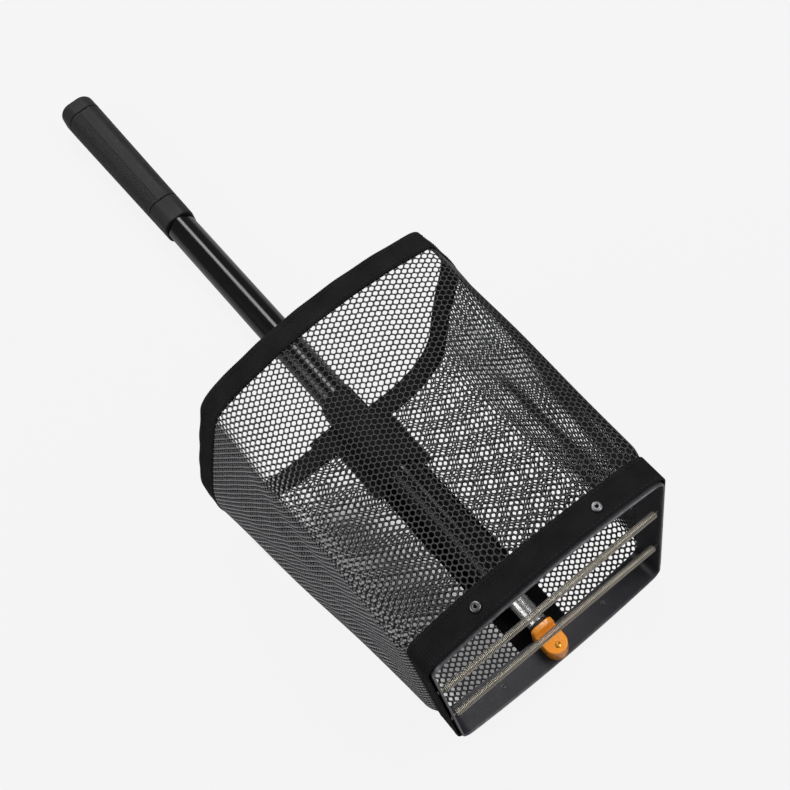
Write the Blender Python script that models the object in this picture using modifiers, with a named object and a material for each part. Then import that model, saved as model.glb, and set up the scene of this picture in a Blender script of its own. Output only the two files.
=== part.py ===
"""Tennis ball picker: a mesh bag on a sprung steel mouth, with a telescopic pole. Lies on its back panel.

Metres. +X runs across the mouth, +Y from the mouth along the pole to the grip, and +Z from the back
panel, which lies on the floor, up to the front panel. The origin is on the floor under the middle.
"""
import math

import bmesh
import bpy
import numpy as np
from mathutils import Matrix, Vector

# Clearance between neighbours, and the small chamfer on turned and moulded edges
GAP = 0.0003
EDGE = 0.0005

# Mouth frame: a hoop of flat steel strip, with long sides that arch outwards
MOUTH_WIDTH = 0.165
MOUTH_DEPTH = 0.147
MOUTH_ARCH = 0.0085
MOUTH_CORNER_RADIUS = 0.009
STRIP_WIDTH = 0.0215
STRIP_THICKNESS = 0.0012

# Mesh bag
BAG_LENGTH = 0.227
MESH_THICKNESS = 0.0008
MESH_ROWS = 5
STRAND_WIDTH = 0.008
HOOP_WIDTH = 0.198
HOOP_DEPTH = 0.178
HOOP_EXPONENT = 3.3

# Tape that binds the bag's lower edge to the strip
BOTTOM_TAPE_THICKNESS = 0.0012
BOTTOM_TAPE_WIDTH = 0.0182
BOTTOM_TAPE_START = 0.0022

# Tape folded over the bag's upper edge and its stiffener
TOP_TAPE_THICKNESS = 0.0006
TOP_TAPE_HEIGHT = 0.0165
STIFFENER_THICKNESS = 0.001
STIFFENER_HEIGHT = 0.008

# Tape over the back panel's seam
SEAM_TAPE_WIDTH = 0.0386
SEAM_TAPE_THICKNESS = 0.0006
SEAM_TAPE_MARGIN = 0.0005

# Tubular rivets through tape, mesh and strip
RIVET_SPACING = 0.084
RIVET_HEAD_RADIUS = 0.0032
RIVET_HEAD_HEIGHT = 0.0011
RIVET_SHANK_RADIUS = 0.0016
RIVET_BORE_RADIUS = 0.0009
RIVET_TAIL_RADIUS = 0.0026
RIVET_TAIL_HEIGHT = 0.0008

# Springs across the mouth
SPRING_SPACING = 0.052
SPRING_INSET = 0.0034
SPRING_DIAMETER = 0.0048
SPRING_WIRE = 0.0014
SPRING_CURLS = 32
POINTS_PER_CURL = 8
LEAD_IN_POINTS = 4
SPRING_END_ROOM = 0.006
HOOK_LENGTH = 0.005
HOOK_HOLE_RADIUS = 0.0011
NOTCH_MARGIN = 0.0005

# Pole sections
OUTER_RADIUS = 0.01215
OUTER_WALL = 0.0008
MIDDLE_RADIUS = 0.0095
MIDDLE_WALL = 0.0008
INNER_RADIUS = 0.007
INNER_WALL = 0.0009
OUTER_START = 0.060
MIDDLE_SHOWS = 0.010
POLE_TRAVEL = 0.240
BUSH_LENGTH = 0.012
BUSH_FLANGE = 0.0025
LOCK_LENGTH = 0.016
LOCK_CAP = 0.0015
LOCK_ROOM = 0.001

# Fitting that carries the pole on the strip
FITTING_RADIUS = 0.00825
FITTING_LENGTH = 0.0215
FITTING_START = 0.0008
FITTING_DOME = 0.0075
FITTING_FOOT_WIDTH = 0.012
PLUG_LENGTH = 0.020
SPACER_LENGTH = 0.002
SCREW_PLACE = 0.0055
SCREW_TOP_RISE = 0.0035
SCREW_RADIUS = 0.0015
SCREW_HEAD_RADIUS = 0.0024
SCREW_HEAD_HEIGHT = 0.0016
RECESS_WIDTH = 0.0007
RECESS_LENGTH = 0.003
PIN_PLACE = 0.0085
PIN_RADIUS = 0.0018

# Fabric loop that guides the pole at the bag's upper edge
LOOP_START = 0.168
LOOP_LENGTH = 0.078
LOOP_THICKNESS = 0.002
LOOP_FOOT_REACH = 0.0245

# Grip
GRIP_START = 0.460
FERRULE_LENGTH = 0.024
GRIP_LENGTH = 0.128
CAP_LENGTH = 0.0155
GROOVE = 0.0008
GRIP_CORNER_RADIUS = 0.011
GRIP_EDGE = 0.0008
CAP_EDGE = 0.003
TUBE_PLUG_LENGTH = 0.012
CAP_SOCKET_DEPTH = 0.004

# Heights above the floor, worked out from the layers that lie on it
LAYERS = 2 * GAP + MESH_THICKNESS + BOTTOM_TAPE_THICKNESS
MOUTH_CENTRE_Z = LAYERS + MOUTH_DEPTH / 2 + MOUTH_ARCH
TOP_HEM_HALF = STIFFENER_THICKNESS / 2 + GAP + TOP_TAPE_THICKNESS
HOOP_CENTRE_Z = TOP_HEM_HALF + HOOP_DEPTH / 2
POLE_Z = 2 * TOP_HEM_HALF + GAP + OUTER_RADIUS
STRIP_FLOOR_Z = LAYERS + STRIP_THICKNESS
GRIP_SIZE = 2 * POLE_Z

# Places along the pole
NOTCH_TOP = SPRING_INSET + SPRING_WIRE / 2 + NOTCH_MARGIN
MESH_START = NOTCH_TOP + GAP
MESH_END = BAG_LENGTH - TOP_TAPE_THICKNESS - STIFFENER_HEIGHT - 2 * GAP
BOTTOM_TAPE_END = BOTTOM_TAPE_START + BOTTOM_TAPE_WIDTH
SHOULDER = FITTING_START + FITTING_LENGTH
MIDDLE_START = OUTER_START - MIDDLE_SHOWS
INNER_START = SHOULDER + SPACER_LENGTH + 2 * GAP
INNER_LOCK_START = MIDDLE_START + BUSH_LENGTH + POLE_TRAVEL + LOCK_ROOM
MIDDLE_LOCK_START = OUTER_START + BUSH_LENGTH + POLE_TRAVEL + LOCK_ROOM
INNER_END = INNER_LOCK_START + LOCK_LENGTH - LOCK_CAP - GAP
MIDDLE_END = MIDDLE_LOCK_START + LOCK_LENGTH - LOCK_CAP - GAP
GRIP_BODY_START = GRIP_START + FERRULE_LENGTH + GROOVE
CAP_START = GRIP_BODY_START + GRIP_LENGTH + GROOVE
OUTER_END = CAP_START + CAP_SOCKET_DEPTH
TOTAL_LENGTH = CAP_START + CAP_LENGTH

# How finely round shapes are divided
LONG_SIDE_STEPS = 6
CORNER_STEPS = 3
SHORT_SIDE_STEPS = 2
TUBE_STEPS = 24
SMALL_STEPS = 12
GRIP_CORNER_STEPS = 5
DOME_STEPS = 5
WALL_RINGS = 3

# Colours, roughness and metal
FINISHES = {
    "black_enamel": ((0.030, 0.032, 0.038), 0.38, 0.0),
    "black_mesh": ((0.012, 0.012, 0.013), 0.75, 0.0),
    "black_tape": ((0.022, 0.022, 0.024), 0.85, 0.0),
    "nickel": ((0.52, 0.50, 0.46), 0.30, 1.0),
    "chrome": ((0.80, 0.80, 0.80), 0.08, 1.0),
    "dark_steel": ((0.16, 0.16, 0.17), 0.35, 1.0),
    "gloss_black": ((0.008, 0.008, 0.009), 0.12, 0.0),
    "orange_plastic": ((0.95, 0.27, 0.02), 0.25, 0.0),
    "nylon": ((0.60, 0.60, 0.58), 0.45, 0.0),
    "black_rubber": ((0.028, 0.028, 0.030), 0.65, 0.0),
}


def clear_scene():
    for item in list(bpy.data.objects):
        bpy.data.objects.remove(item, do_unlink=True)


def make_materials():
    made = {}
    for name, (colour, roughness, metallic) in FINISHES.items():
        material = bpy.data.materials.new(name)
        material.use_nodes = True
        shader = material.node_tree.nodes["Principled BSDF"]
        shader.inputs["Base Color"].default_value = (*colour, 1.0)
        shader.inputs["Roughness"].default_value = roughness
        shader.inputs["Metallic"].default_value = metallic
        made[name] = material
    return made


def make_collection(name):
    collection = bpy.data.collections.new(name)
    bpy.context.scene.collection.children.link(collection)
    return collection


clear_scene()
MATERIALS = make_materials()
PARTS = make_collection("tennis_ball_picker")
GUIDES = make_collection("cutters_and_guides")
CENTRE = bpy.data.objects.new("picker_centre", None)
CENTRE.location = (0, -TOTAL_LENGTH / 2, 0)
GUIDES.objects.link(CENTRE)


def place(item, location=(0, 0, 0), rotation=(0, 0, 0)):
    item.parent = CENTRE
    item.location = location
    item.rotation_euler = rotation
    return item


def add_part(name, data, finish):
    item = bpy.data.objects.new(name, data)
    data.materials.append(MATERIALS[finish])
    PARTS.objects.link(item)
    return item


def add_guide(name, data):
    item = bpy.data.objects.new(name, data)
    item.hide_render = True
    item.display_type = "WIRE"
    GUIDES.objects.link(item)
    return item


def smooth(mesh, angle=35):
    mesh.shade_smooth()
    mesh.set_sharp_from_angle(angle=math.radians(angle))


def mesh_from(name, bm):
    bmesh.ops.recalc_face_normals(bm, faces=bm.faces)
    mesh = bpy.data.meshes.new(name)
    bm.to_mesh(mesh)
    bm.free()
    return mesh


def as_mesh(item, finish):
    """Replaces a curve object by a mesh with its caps welded on."""
    name = item.name
    bpy.context.view_layer.update()
    evaluated = item.evaluated_get(bpy.context.evaluated_depsgraph_get())
    mesh = bpy.data.meshes.new_from_object(evaluated)
    bm = bmesh.new()
    bm.from_mesh(mesh)
    bmesh.ops.remove_doubles(bm, verts=bm.verts, dist=0.000002)
    bmesh.ops.recalc_face_normals(bm, faces=bm.faces)
    bm.to_mesh(mesh)
    bm.free()
    matrix = item.matrix_world.copy()
    bpy.data.objects.remove(item, do_unlink=True)
    mesh.materials.clear()
    solid = add_part(name, mesh, finish)
    solid.parent = CENTRE
    solid.matrix_world = matrix
    return solid


# Outlines of the mouth and of the hoop, as quarters from the top's middle to the side's middle


def mouth_quarter(offset):
    """Points of the mouth's quarter, moved outwards by offset, as (x, z) about the mouth's centre."""
    chord = MOUTH_WIDTH / 2
    arch_radius = (chord ** 2 + MOUTH_ARCH ** 2) / (2 * MOUTH_ARCH)
    arch_centre = MOUTH_DEPTH / 2 + MOUTH_ARCH - arch_radius
    side = chord - MOUTH_CORNER_RADIUS
    corner_z = arch_centre + math.sqrt((arch_radius - MOUTH_CORNER_RADIUS) ** 2 - side ** 2)
    turn = math.atan2(corner_z - arch_centre, side)
    points = []
    for angle in np.linspace(math.pi / 2, turn, LONG_SIDE_STEPS + 1):
        radius = arch_radius + offset
        points.append((radius * math.cos(angle), arch_centre + radius * math.sin(angle)))
    for angle in np.linspace(turn, 0, CORNER_STEPS + 1)[1:]:
        radius = MOUTH_CORNER_RADIUS + offset
        points.append((side + radius * math.cos(angle), corner_z + radius * math.sin(angle)))
    for height in np.linspace(corner_z, 0, SHORT_SIDE_STEPS + 1)[1:]:
        points.append((chord + offset, height))
    return points


def hoop_quarter(offset):
    """Points of the hoop's quarter, spread evenly over its length and its turning together."""
    half_width = HOOP_WIDTH / 2
    half_depth = HOOP_DEPTH / 2
    angles = np.linspace(0, math.pi / 2, 721)
    x = half_width * np.sin(angles) ** (2 / HOOP_EXPONENT)
    z = half_depth * np.cos(angles) ** (2 / HOOP_EXPONENT)
    slope_x = (x / half_width) ** (HOOP_EXPONENT - 1) / half_width
    slope_z = (z / half_depth) ** (HOOP_EXPONENT - 1) / half_depth
    turned_by = np.arctan2(slope_x, slope_z)
    run = np.concatenate([[0], np.cumsum(np.hypot(np.diff(x), np.diff(z)))])
    progress = run / run[-1] + turned_by / turned_by[-1]
    wanted = np.linspace(0, progress[-1], LONG_SIDE_STEPS + CORNER_STEPS + SHORT_SIDE_STEPS + 1)
    px = np.interp(wanted, progress, x)
    pz = np.interp(wanted, progress, z)
    turn = np.interp(wanted, progress, turned_by)
    return list(zip(px + offset * np.sin(turn), pz + offset * np.cos(turn)))


def whole(quarter, centre_z):
    """Mirrors a quarter into the closed outline, clockwise from the top's middle."""
    right = quarter + [(x, -z) for x, z in quarter[-2::-1]]
    left = [(-x, z) for x, z in right[-2:0:-1]]
    return [(x, centre_z + z) for x, z in right + left]


def mouth_outline(offset):
    return whole(mouth_quarter(offset), MOUTH_CENTRE_Z)


def hoop_outline(offset):
    return whole(hoop_quarter(offset), HOOP_CENTRE_Z)


def hoop_floor_height(x):
    """Height of the hoop's middle line above the floor, on its back side, at a place across it."""
    share = 1 - (abs(x) / (HOOP_WIDTH / 2)) ** HOOP_EXPONENT
    return HOOP_CENTRE_Z - HOOP_DEPTH / 2 * share ** (1 / HOOP_EXPONENT)


def mouth_floor_height(x, offset):
    """Height of the mouth's outline, moved outwards by offset, on its back side."""
    chord = MOUTH_WIDTH / 2
    arch_radius = (chord ** 2 + MOUTH_ARCH ** 2) / (2 * MOUTH_ARCH)
    centre = MOUTH_CENTRE_Z - (MOUTH_DEPTH / 2 + MOUTH_ARCH - arch_radius)
    return centre - math.sqrt((arch_radius + offset) ** 2 - x ** 2)


# Ways to make a solid


def flat_curve(name, outlines, thickness, finish):
    """Flat outlines in X and Z, filled and given a thickness along Y, about the origin."""
    curve = bpy.data.curves.new(name, "CURVE")
    curve.dimensions = "2D"
    curve.fill_mode = "BOTH"
    curve.extrude = thickness / 2
    for outline in outlines:
        spline = curve.splines.new("POLY")
        spline.points.add(len(outline) - 1)
        for point, (x, z) in zip(spline.points, outline):
            point.co = (x, z, 0, 1)
        spline.use_cyclic_u = True
    item = add_part(name, curve, finish)
    return item


def plate(name, outlines, start, length, finish):
    """A flat outline or ring that runs along the pole's direction from start."""
    item = flat_curve(name, outlines, length, finish)
    place(item, (0, start + length / 2, 0), (math.pi / 2, 0, 0))
    return as_mesh(item, finish)


def turned_mesh(name, profile):
    """Edges of a turned profile, given as (radius, height) down its outer side."""
    bm = bmesh.new()
    verts = [bm.verts.new((radius, 0, height)) for radius, height in profile]
    for a, b in zip(verts, verts[1:]):
        bm.edges.new((a, b))
    if profile[0][0] > 0:
        bm.edges.new((verts[-1], verts[0]))
    mesh = bpy.data.meshes.new(name)
    bm.to_mesh(mesh)
    bm.free()
    return mesh


def add_screw(item, steps):
    turn = item.modifiers.new("turn", "SCREW")
    turn.steps = steps
    turn.render_steps = steps
    turn.use_merge_vertices = True
    turn.merge_threshold = 0.000001
    turn.use_smooth_shade = True
    return turn


def turned(name, profile, finish, steps=TUBE_STEPS, height=POLE_Z):
    """A solid turned about the pole's axis, its profile given as (radius, place along the pole)."""
    item = add_part(name, turned_mesh(name, profile), finish)
    add_screw(item, steps)
    return place(item, (0, 0, height), (-math.pi / 2, 0, 0))


def tube_profile(inner, outer, start, end):
    return [(outer, end), (outer, start), (inner, start), (inner, end)]


def tube(name, radius, wall, start, end, finish, steps=TUBE_STEPS):
    return turned(name, tube_profile(radius - wall, radius, start, end), finish, steps)


def cylinder_cutter(name, radius, length, location, rotation=(0, 0, 0), steps=SMALL_STEPS):
    bm = bmesh.new()
    bmesh.ops.create_cone(bm, cap_ends=True, segments=steps, radius1=radius, radius2=radius, depth=length)
    return place(add_guide(name, mesh_from(name, bm)), location, rotation)


def box_cutter(name, size, location):
    bm = bmesh.new()
    bmesh.ops.create_cube(bm, size=1, matrix=Matrix.Diagonal((*size, 1)))
    return place(add_guide(name, mesh_from(name, bm)), location)


def cut(item, cutter, operation="DIFFERENCE"):
    boolean = item.modifiers.new(cutter.name, "BOOLEAN")
    boolean.operation = operation
    boolean.solver = "EXACT"
    boolean.object = cutter
    return item


def bevel(item, width, segments=2, angle=30):
    rounding = item.modifiers.new("edges", "BEVEL")
    rounding.width = width
    rounding.segments = segments
    rounding.limit_method = "ANGLE"
    rounding.angle_limit = math.radians(angle)
    return item


# Mouth frame and its springs


def rivet_places():
    """Name, place and tilt of each rivet, two on the front side of the mouth and two on the back."""
    chord = MOUTH_WIDTH / 2
    arch_radius = (chord ** 2 + MOUTH_ARCH ** 2) / (2 * MOUTH_ARCH)
    out = RIVET_SPACING / 2
    drop = MOUTH_CENTRE_Z - mouth_floor_height(out, 0)
    lean = math.asin(out / arch_radius)
    places = []
    for side, side_name in ((1, "front"), (-1, "back")):
        for hand, hand_name in ((-1, "left"), (1, "right")):
            upright = 0 if side > 0 else math.pi
            location = (hand * out, STRIP_WIDTH / 2, MOUTH_CENTRE_Z + side * drop)
            rotation = (0, upright + side * hand * lean, 0)
            places.append((f"{side_name}_{hand_name}_rivet", location, rotation))
    return places


def make_rivet_cutters():
    """Clearance holes for the four rivets, through tape, mesh and strip."""
    length = 2 * (LAYERS + STRIP_THICKNESS + RIVET_HEAD_HEIGHT)
    cutters = []
    for name, location, rotation in rivet_places():
        hole = "hole_for_" + name
        cutters.append(cylinder_cutter(hole, RIVET_SHANK_RADIUS + GAP, length, location, rotation))
    return cutters


def make_rivets():
    """Tubular rivets: a head outside the tape, and a rolled tail inside the strip."""
    head_foot = LAYERS + GAP
    head_top = head_foot + RIVET_HEAD_HEIGHT
    tail_top = -STRIP_THICKNESS - GAP
    tail_foot = tail_top - RIVET_TAIL_HEIGHT
    profile = [
        (RIVET_BORE_RADIUS + EDGE, head_top),
        (RIVET_HEAD_RADIUS - EDGE, head_top),
        (RIVET_HEAD_RADIUS, head_foot + EDGE),
        (RIVET_HEAD_RADIUS, head_foot),
        (RIVET_SHANK_RADIUS, head_foot),
        (RIVET_SHANK_RADIUS, tail_top),
        (RIVET_TAIL_RADIUS, tail_top),
        (RIVET_TAIL_RADIUS - EDGE, tail_foot),
        (RIVET_BORE_RADIUS, tail_foot),
        (RIVET_BORE_RADIUS, head_top - EDGE),
    ]
    for name, location, rotation in rivet_places():
        item = add_part(name, turned_mesh(name, profile), "dark_steel")
        add_screw(item, SMALL_STEPS)
        place(item, location, rotation)


def spring_height(side):
    return MOUTH_CENTRE_Z + side * SPRING_SPACING / 2


def spring_path(side):
    """Points of one unbroken wire: hook, straight leg, close curls, straight leg, hook."""
    coil_radius = (SPRING_DIAMETER - SPRING_WIRE) / 2
    inner_face = MOUTH_WIDTH / 2 - STRIP_THICKNESS
    coil_half = inner_face - SPRING_END_ROOM
    hook_x = MOUTH_WIDTH / 2 + GAP + SPRING_WIRE / 2 + EDGE
    bend = SPRING_WIRE
    corner = bend * (1 - math.sqrt(0.5))
    end = [
        (hook_x, HOOK_LENGTH),
        (hook_x, HOOK_LENGTH - SPRING_WIRE),
        (hook_x, bend),
        (hook_x - corner, corner),
        (hook_x - bend, 0),
        (inner_face - GAP, 0),
        (coil_half + SPRING_WIRE, 0),
    ]
    height = spring_height(side)
    path = [Vector((-x, SPRING_INSET, height + side * z)) for x, z in end]
    count = SPRING_CURLS * POINTS_PER_CURL
    for step in range(count + 1):
        share = step / count
        angle = 2 * math.pi * SPRING_CURLS * share
        x = -coil_half + 2 * coil_half * share
        reach = coil_radius * min(1, (step + 1) / LEAD_IN_POINTS, (count - step + 1) / LEAD_IN_POINTS)
        path.append(Vector((x, SPRING_INSET + reach * math.sin(angle), height + reach * math.cos(angle))))
    path += [Vector((x, SPRING_INSET, height + side * z)) for x, z in reversed(end)]
    return path


def print_spring_gap(name, path):
    """Prints the wire's least gap to itself, measured between points that lie over half a curl apart."""
    points = np.array(path)
    apart = POINTS_PER_CURL // 2 + 1
    least = 1.0
    for first in range(len(points) - apart):
        away = np.linalg.norm(points[first + apart:] - points[first], axis=1)
        least = min(least, away.min() - SPRING_WIRE)
    print(f"{name}: least gap to itself {least * 1000:.2f} mm")


def make_spring(name, side):
    path = spring_path(side)
    print_spring_gap(name, path)
    curve = bpy.data.curves.new(name, "CURVE")
    curve.dimensions = "3D"
    curve.bevel_depth = SPRING_WIRE / 2
    curve.bevel_resolution = 1
    curve.use_fill_caps = True
    spline = curve.splines.new("POLY")
    spline.points.add(len(path) - 1)
    for point, place_on_path in zip(spline.points, path):
        point.co = (*place_on_path, 1)
    return place(add_part(name, curve, "nickel"))


def make_mouth_frame(rivet_cutters, hook_cutters, screw_cutter):
    outlines = [mouth_outline(0), mouth_outline(-STRIP_THICKNESS)]
    frame = plate("mouth_frame", outlines, 0, STRIP_WIDTH, "black_enamel")
    smooth(frame.data)
    for cutter in rivet_cutters + hook_cutters + [screw_cutter]:
        cut(frame, cutter)
    return frame


# Bag


def all_round(places):
    """The same places on all four quarters of an outline, given on its first quarter."""
    quarter = LONG_SIDE_STEPS + CORNER_STEPS + SHORT_SIDE_STEPS
    around = 4 * quarter
    return {mirrored % around for at in places for mirrored in (at, 2 * quarter - at, 2 * quarter + at, -at)}


def strand_lines(outline):
    """Lines of the mesh along the pole, as (point, whether the stretch after it is open).

    A strand runs at every second point of the long sides, at both ends of each corner, and at each
    point of the short sides. Its two edges are lines, and at a corner's end so is its middle.
    """
    corner_end = LONG_SIDE_STEPS + CORNER_STEPS
    corner_ends = all_round([LONG_SIDE_STEPS, corner_end])
    on_long_side = range(0, LONG_SIDE_STEPS, 2)
    on_short_side = range(corner_end, corner_end + SHORT_SIDE_STEPS + 1)
    strands = all_round([*on_long_side, *on_short_side])
    points = [Vector(point) for point in outline]
    lines = []
    for i, point in enumerate(points):
        if i not in strands | corner_ends:
            lines.append((point, True))
            continue
        before, after = ((points[j % len(points)] - point).normalized() for j in (i - 1, i + 1))
        lines.append((point + before * STRAND_WIDTH / 2, False))
        if i in corner_ends:
            lines.append((point, False))
        lines.append((point + after * STRAND_WIDTH / 2, True))
    return lines


def make_mesh_bag(rivet_cutters):
    """Mesh wall with a plain grid of openings, drawn evenly from the strip up to the hoop."""
    low = strand_lines(mouth_outline(GAP + MESH_THICKNESS / 2))
    high = strand_lines(hoop_outline(0))
    first = BOTTOM_TAPE_END + GAP
    last = BAG_LENGTH - TOP_TAPE_HEIGHT - GAP
    row_height = (last - first) / MESH_ROWS
    levels = [MESH_START, first]
    open_rows = set()
    for row in range(MESH_ROWS):
        foot = first + row * row_height
        open_rows.add(len(levels))
        levels += [foot + STRAND_WIDTH / 2, foot + row_height - STRAND_WIDTH / 2]
    levels += [last, MESH_END]
    bm = bmesh.new()
    rows = []
    for y in levels:
        share = min(max((y - first) / (last - first), 0), 1)
        row = []
        for (a, _), (b, _) in zip(low, high):
            x, z = a.lerp(b, share)
            row.append(bm.verts.new((x, y, z)))
        rows.append(row)
    count = len(low)
    for level, (lower, upper) in enumerate(zip(rows, rows[1:])):
        for i in range(count):
            if level in open_rows and low[i][1]:
                continue
            j = (i + 1) % count
            bm.faces.new((lower[i], lower[j], upper[j], upper[i]))
    item = place(add_part("mesh_bag", mesh_from("mesh_bag", bm), "black_mesh"))
    smooth(item.data)
    shell = item.modifiers.new("cloth", "SOLIDIFY")
    shell.thickness = MESH_THICKNESS
    shell.offset = 0
    shell.use_even_offset = True
    for cutter in rivet_cutters:
        cut(item, cutter)
    return item


def make_notch_cutters():
    """Room in the tape's lower edge for the springs' hooks."""
    hook_height = HOOK_LENGTH + SPRING_WIRE / 2
    size = (2 * LAYERS, NOTCH_TOP, hook_height + 2 * NOTCH_MARGIN)
    cutters = []
    for side in (1, -1):
        height = spring_height(side) + side * (hook_height - SPRING_WIRE) / 2
        for hand in (1, -1):
            location = (hand * (MOUTH_WIDTH / 2 + 3 * LAYERS / 2), NOTCH_TOP / 2, height)
            cutters.append(box_cutter("notch", size, location))
    return cutters


def make_bottom_hem(rivet_cutters):
    inner = GAP * 2 + MESH_THICKNESS
    outlines = [mouth_outline(LAYERS), mouth_outline(inner)]
    hem = plate("bottom_hem", outlines, BOTTOM_TAPE_START, BOTTOM_TAPE_WIDTH, "black_tape")
    smooth(hem.data)
    for cutter in rivet_cutters + make_notch_cutters():
        cut(hem, cutter)
    return hem


def sweep_around(name, section, outline_at, finish):
    """Carries a closed section, as (distance outwards, place along the pole), around an outline."""
    loops = [outline_at(outwards) for outwards, along in section]
    bm = bmesh.new()
    count = len(loops[0])
    rows = []
    for loop, (outwards, along) in zip(loops, section):
        rows.append([bm.verts.new((x, along, z)) for x, z in loop])
    for row, following in zip(rows, rows[1:] + rows[:1]):
        for i in range(count):
            j = (i + 1) % count
            bm.faces.new((row[i], row[j], following[j], following[i]))
    item = place(add_part(name, mesh_from(name, bm), finish))
    smooth(item.data)
    return item


def make_top_hem():
    """Tape folded over the mesh's edge and the stiffener, open towards the mouth."""
    outer = TOP_HEM_HALF
    inner = TOP_HEM_HALF - TOP_TAPE_THICKNESS
    foot = BAG_LENGTH - TOP_TAPE_HEIGHT
    fold = TOP_TAPE_THICKNESS
    section = [
        (outer, foot),
        (outer, BAG_LENGTH - fold),
        (outer - fold, BAG_LENGTH),
        (fold - outer, BAG_LENGTH),
        (-outer, BAG_LENGTH - fold),
        (-outer, foot),
        (-inner, foot),
        (-inner, BAG_LENGTH - fold),
        (inner, BAG_LENGTH - fold),
        (inner, foot),
    ]
    return sweep_around("top_hem", section, hoop_outline, "black_tape")


def make_stiffener():
    half = STIFFENER_THICKNESS / 2
    outlines = [hoop_outline(half), hoop_outline(-half)]
    start = BAG_LENGTH - TOP_TAPE_THICKNESS - GAP - STIFFENER_HEIGHT
    item = plate("hoop_stiffener", outlines, start, STIFFENER_HEIGHT, "black_rubber")
    smooth(item.data)
    return item


def make_seam_tape():
    """Tape on the outside of the back panel, over the seam that closes the mesh."""
    start = BOTTOM_TAPE_END + SEAM_TAPE_MARGIN
    end = BAG_LENGTH - TOP_TAPE_HEIGHT - SEAM_TAPE_MARGIN
    below = MESH_THICKNESS / 2 + GAP + SEAM_TAPE_THICKNESS / 2
    bm = bmesh.new()
    rows = []
    for share in np.linspace(0, 1, WALL_RINGS + 1):
        y = start + (end - start) * share
        row = []
        for x in np.linspace(-SEAM_TAPE_WIDTH / 2, SEAM_TAPE_WIDTH / 2, LONG_SIDE_STEPS + 1):
            low = mouth_floor_height(x, GAP + MESH_THICKNESS / 2)
            high = hoop_floor_height(x)
            row.append(bm.verts.new((x, y, low + (high - low) * share - below)))
        rows.append(row)
    for lower, upper in zip(rows, rows[1:]):
        for i in range(len(lower) - 1):
            bm.faces.new((lower[i], lower[i + 1], upper[i + 1], upper[i]))
    item = place(add_part("back_seam_tape", mesh_from("back_seam_tape", bm), "black_tape"))
    smooth(item.data)
    shell = item.modifiers.new("cloth", "SOLIDIFY")
    shell.thickness = SEAM_TAPE_THICKNESS
    shell.offset = 0
    return item


def make_pole_loop():
    """Fabric band that arches over the pole, with feet sewn to the hem on both sides of it."""
    inner = OUTER_RADIUS + GAP
    outer = inner + LOOP_THICKNESS
    near_foot = hoop_floor_height(outer) + TOP_HEM_HALF + GAP
    far_foot = hoop_floor_height(LOOP_FOOT_REACH) + TOP_HEM_HALF + GAP
    angles = np.linspace(0, math.pi, TUBE_STEPS // 2 + 1)
    over = [(outer * math.cos(a), POLE_Z + outer * math.sin(a)) for a in angles]
    under = [(inner * math.cos(a), POLE_Z + inner * math.sin(a)) for a in reversed(angles)]
    rise = LOOP_THICKNESS / 2
    right = [
        (inner, near_foot),
        (LOOP_FOOT_REACH, far_foot),
        (LOOP_FOOT_REACH, far_foot + rise),
        (outer, near_foot + rise),
    ]
    left = [(-x, z) for x, z in reversed(right)]
    item = plate("pole_loop", [right + over + left + under], LOOP_START, LOOP_LENGTH, "black_tape")
    smooth(item.data)
    return item


# Fitting at the pole's foot


def make_spacer():
    """Ring between the fitting's shoulder and the foot of the inner tube."""
    start = SHOULDER + GAP
    bore = INNER_RADIUS - INNER_WALL
    turned("foot_spacer", tube_profile(bore, INNER_RADIUS, start, start + SPACER_LENGTH), "black_rubber")


def make_end_fitting(screw_cutter, head_cutter, pin_cutter):
    """Moulded end: a domed body with a flat foot on the strip, and a plug inside the inner tube."""
    plug_radius = INNER_RADIUS - INNER_WALL - GAP
    dome = []
    for angle in np.linspace(0, math.pi / 2, DOME_STEPS + 1):
        radius = FITTING_RADIUS - FITTING_DOME * (1 - math.cos(angle))
        dome.append((radius, FITTING_START + FITTING_DOME * (1 - math.sin(angle))))
    profile = [
        (0, SHOULDER + PLUG_LENGTH),
        (plug_radius - EDGE, SHOULDER + PLUG_LENGTH),
        (plug_radius, SHOULDER + PLUG_LENGTH - EDGE),
        (plug_radius, SHOULDER),
        (FITTING_RADIUS - EDGE, SHOULDER),
        (FITTING_RADIUS, SHOULDER - EDGE),
    ] + dome + [(0, FITTING_START)]
    item = turned("end_fitting", profile, "orange_plastic")
    foot_height = POLE_Z - STRIP_FLOOR_Z - GAP
    foot_length = FITTING_LENGTH - FITTING_DOME / 2
    foot = box_cutter("fitting_foot", (FITTING_FOOT_WIDTH, foot_length, foot_height),
                      (0, SHOULDER - foot_length / 2, POLE_Z - foot_height / 2))
    below = box_cutter("fitting_flat", (4 * FITTING_RADIUS, 4 * FITTING_LENGTH, FITTING_RADIUS),
                       (0, SHOULDER, STRIP_FLOOR_Z + GAP - FITTING_RADIUS / 2))
    cut(item, foot, "UNION")
    cut(item, below)
    for cutter in (screw_cutter, head_cutter, pin_cutter):
        cut(item, cutter)
    return item


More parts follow.
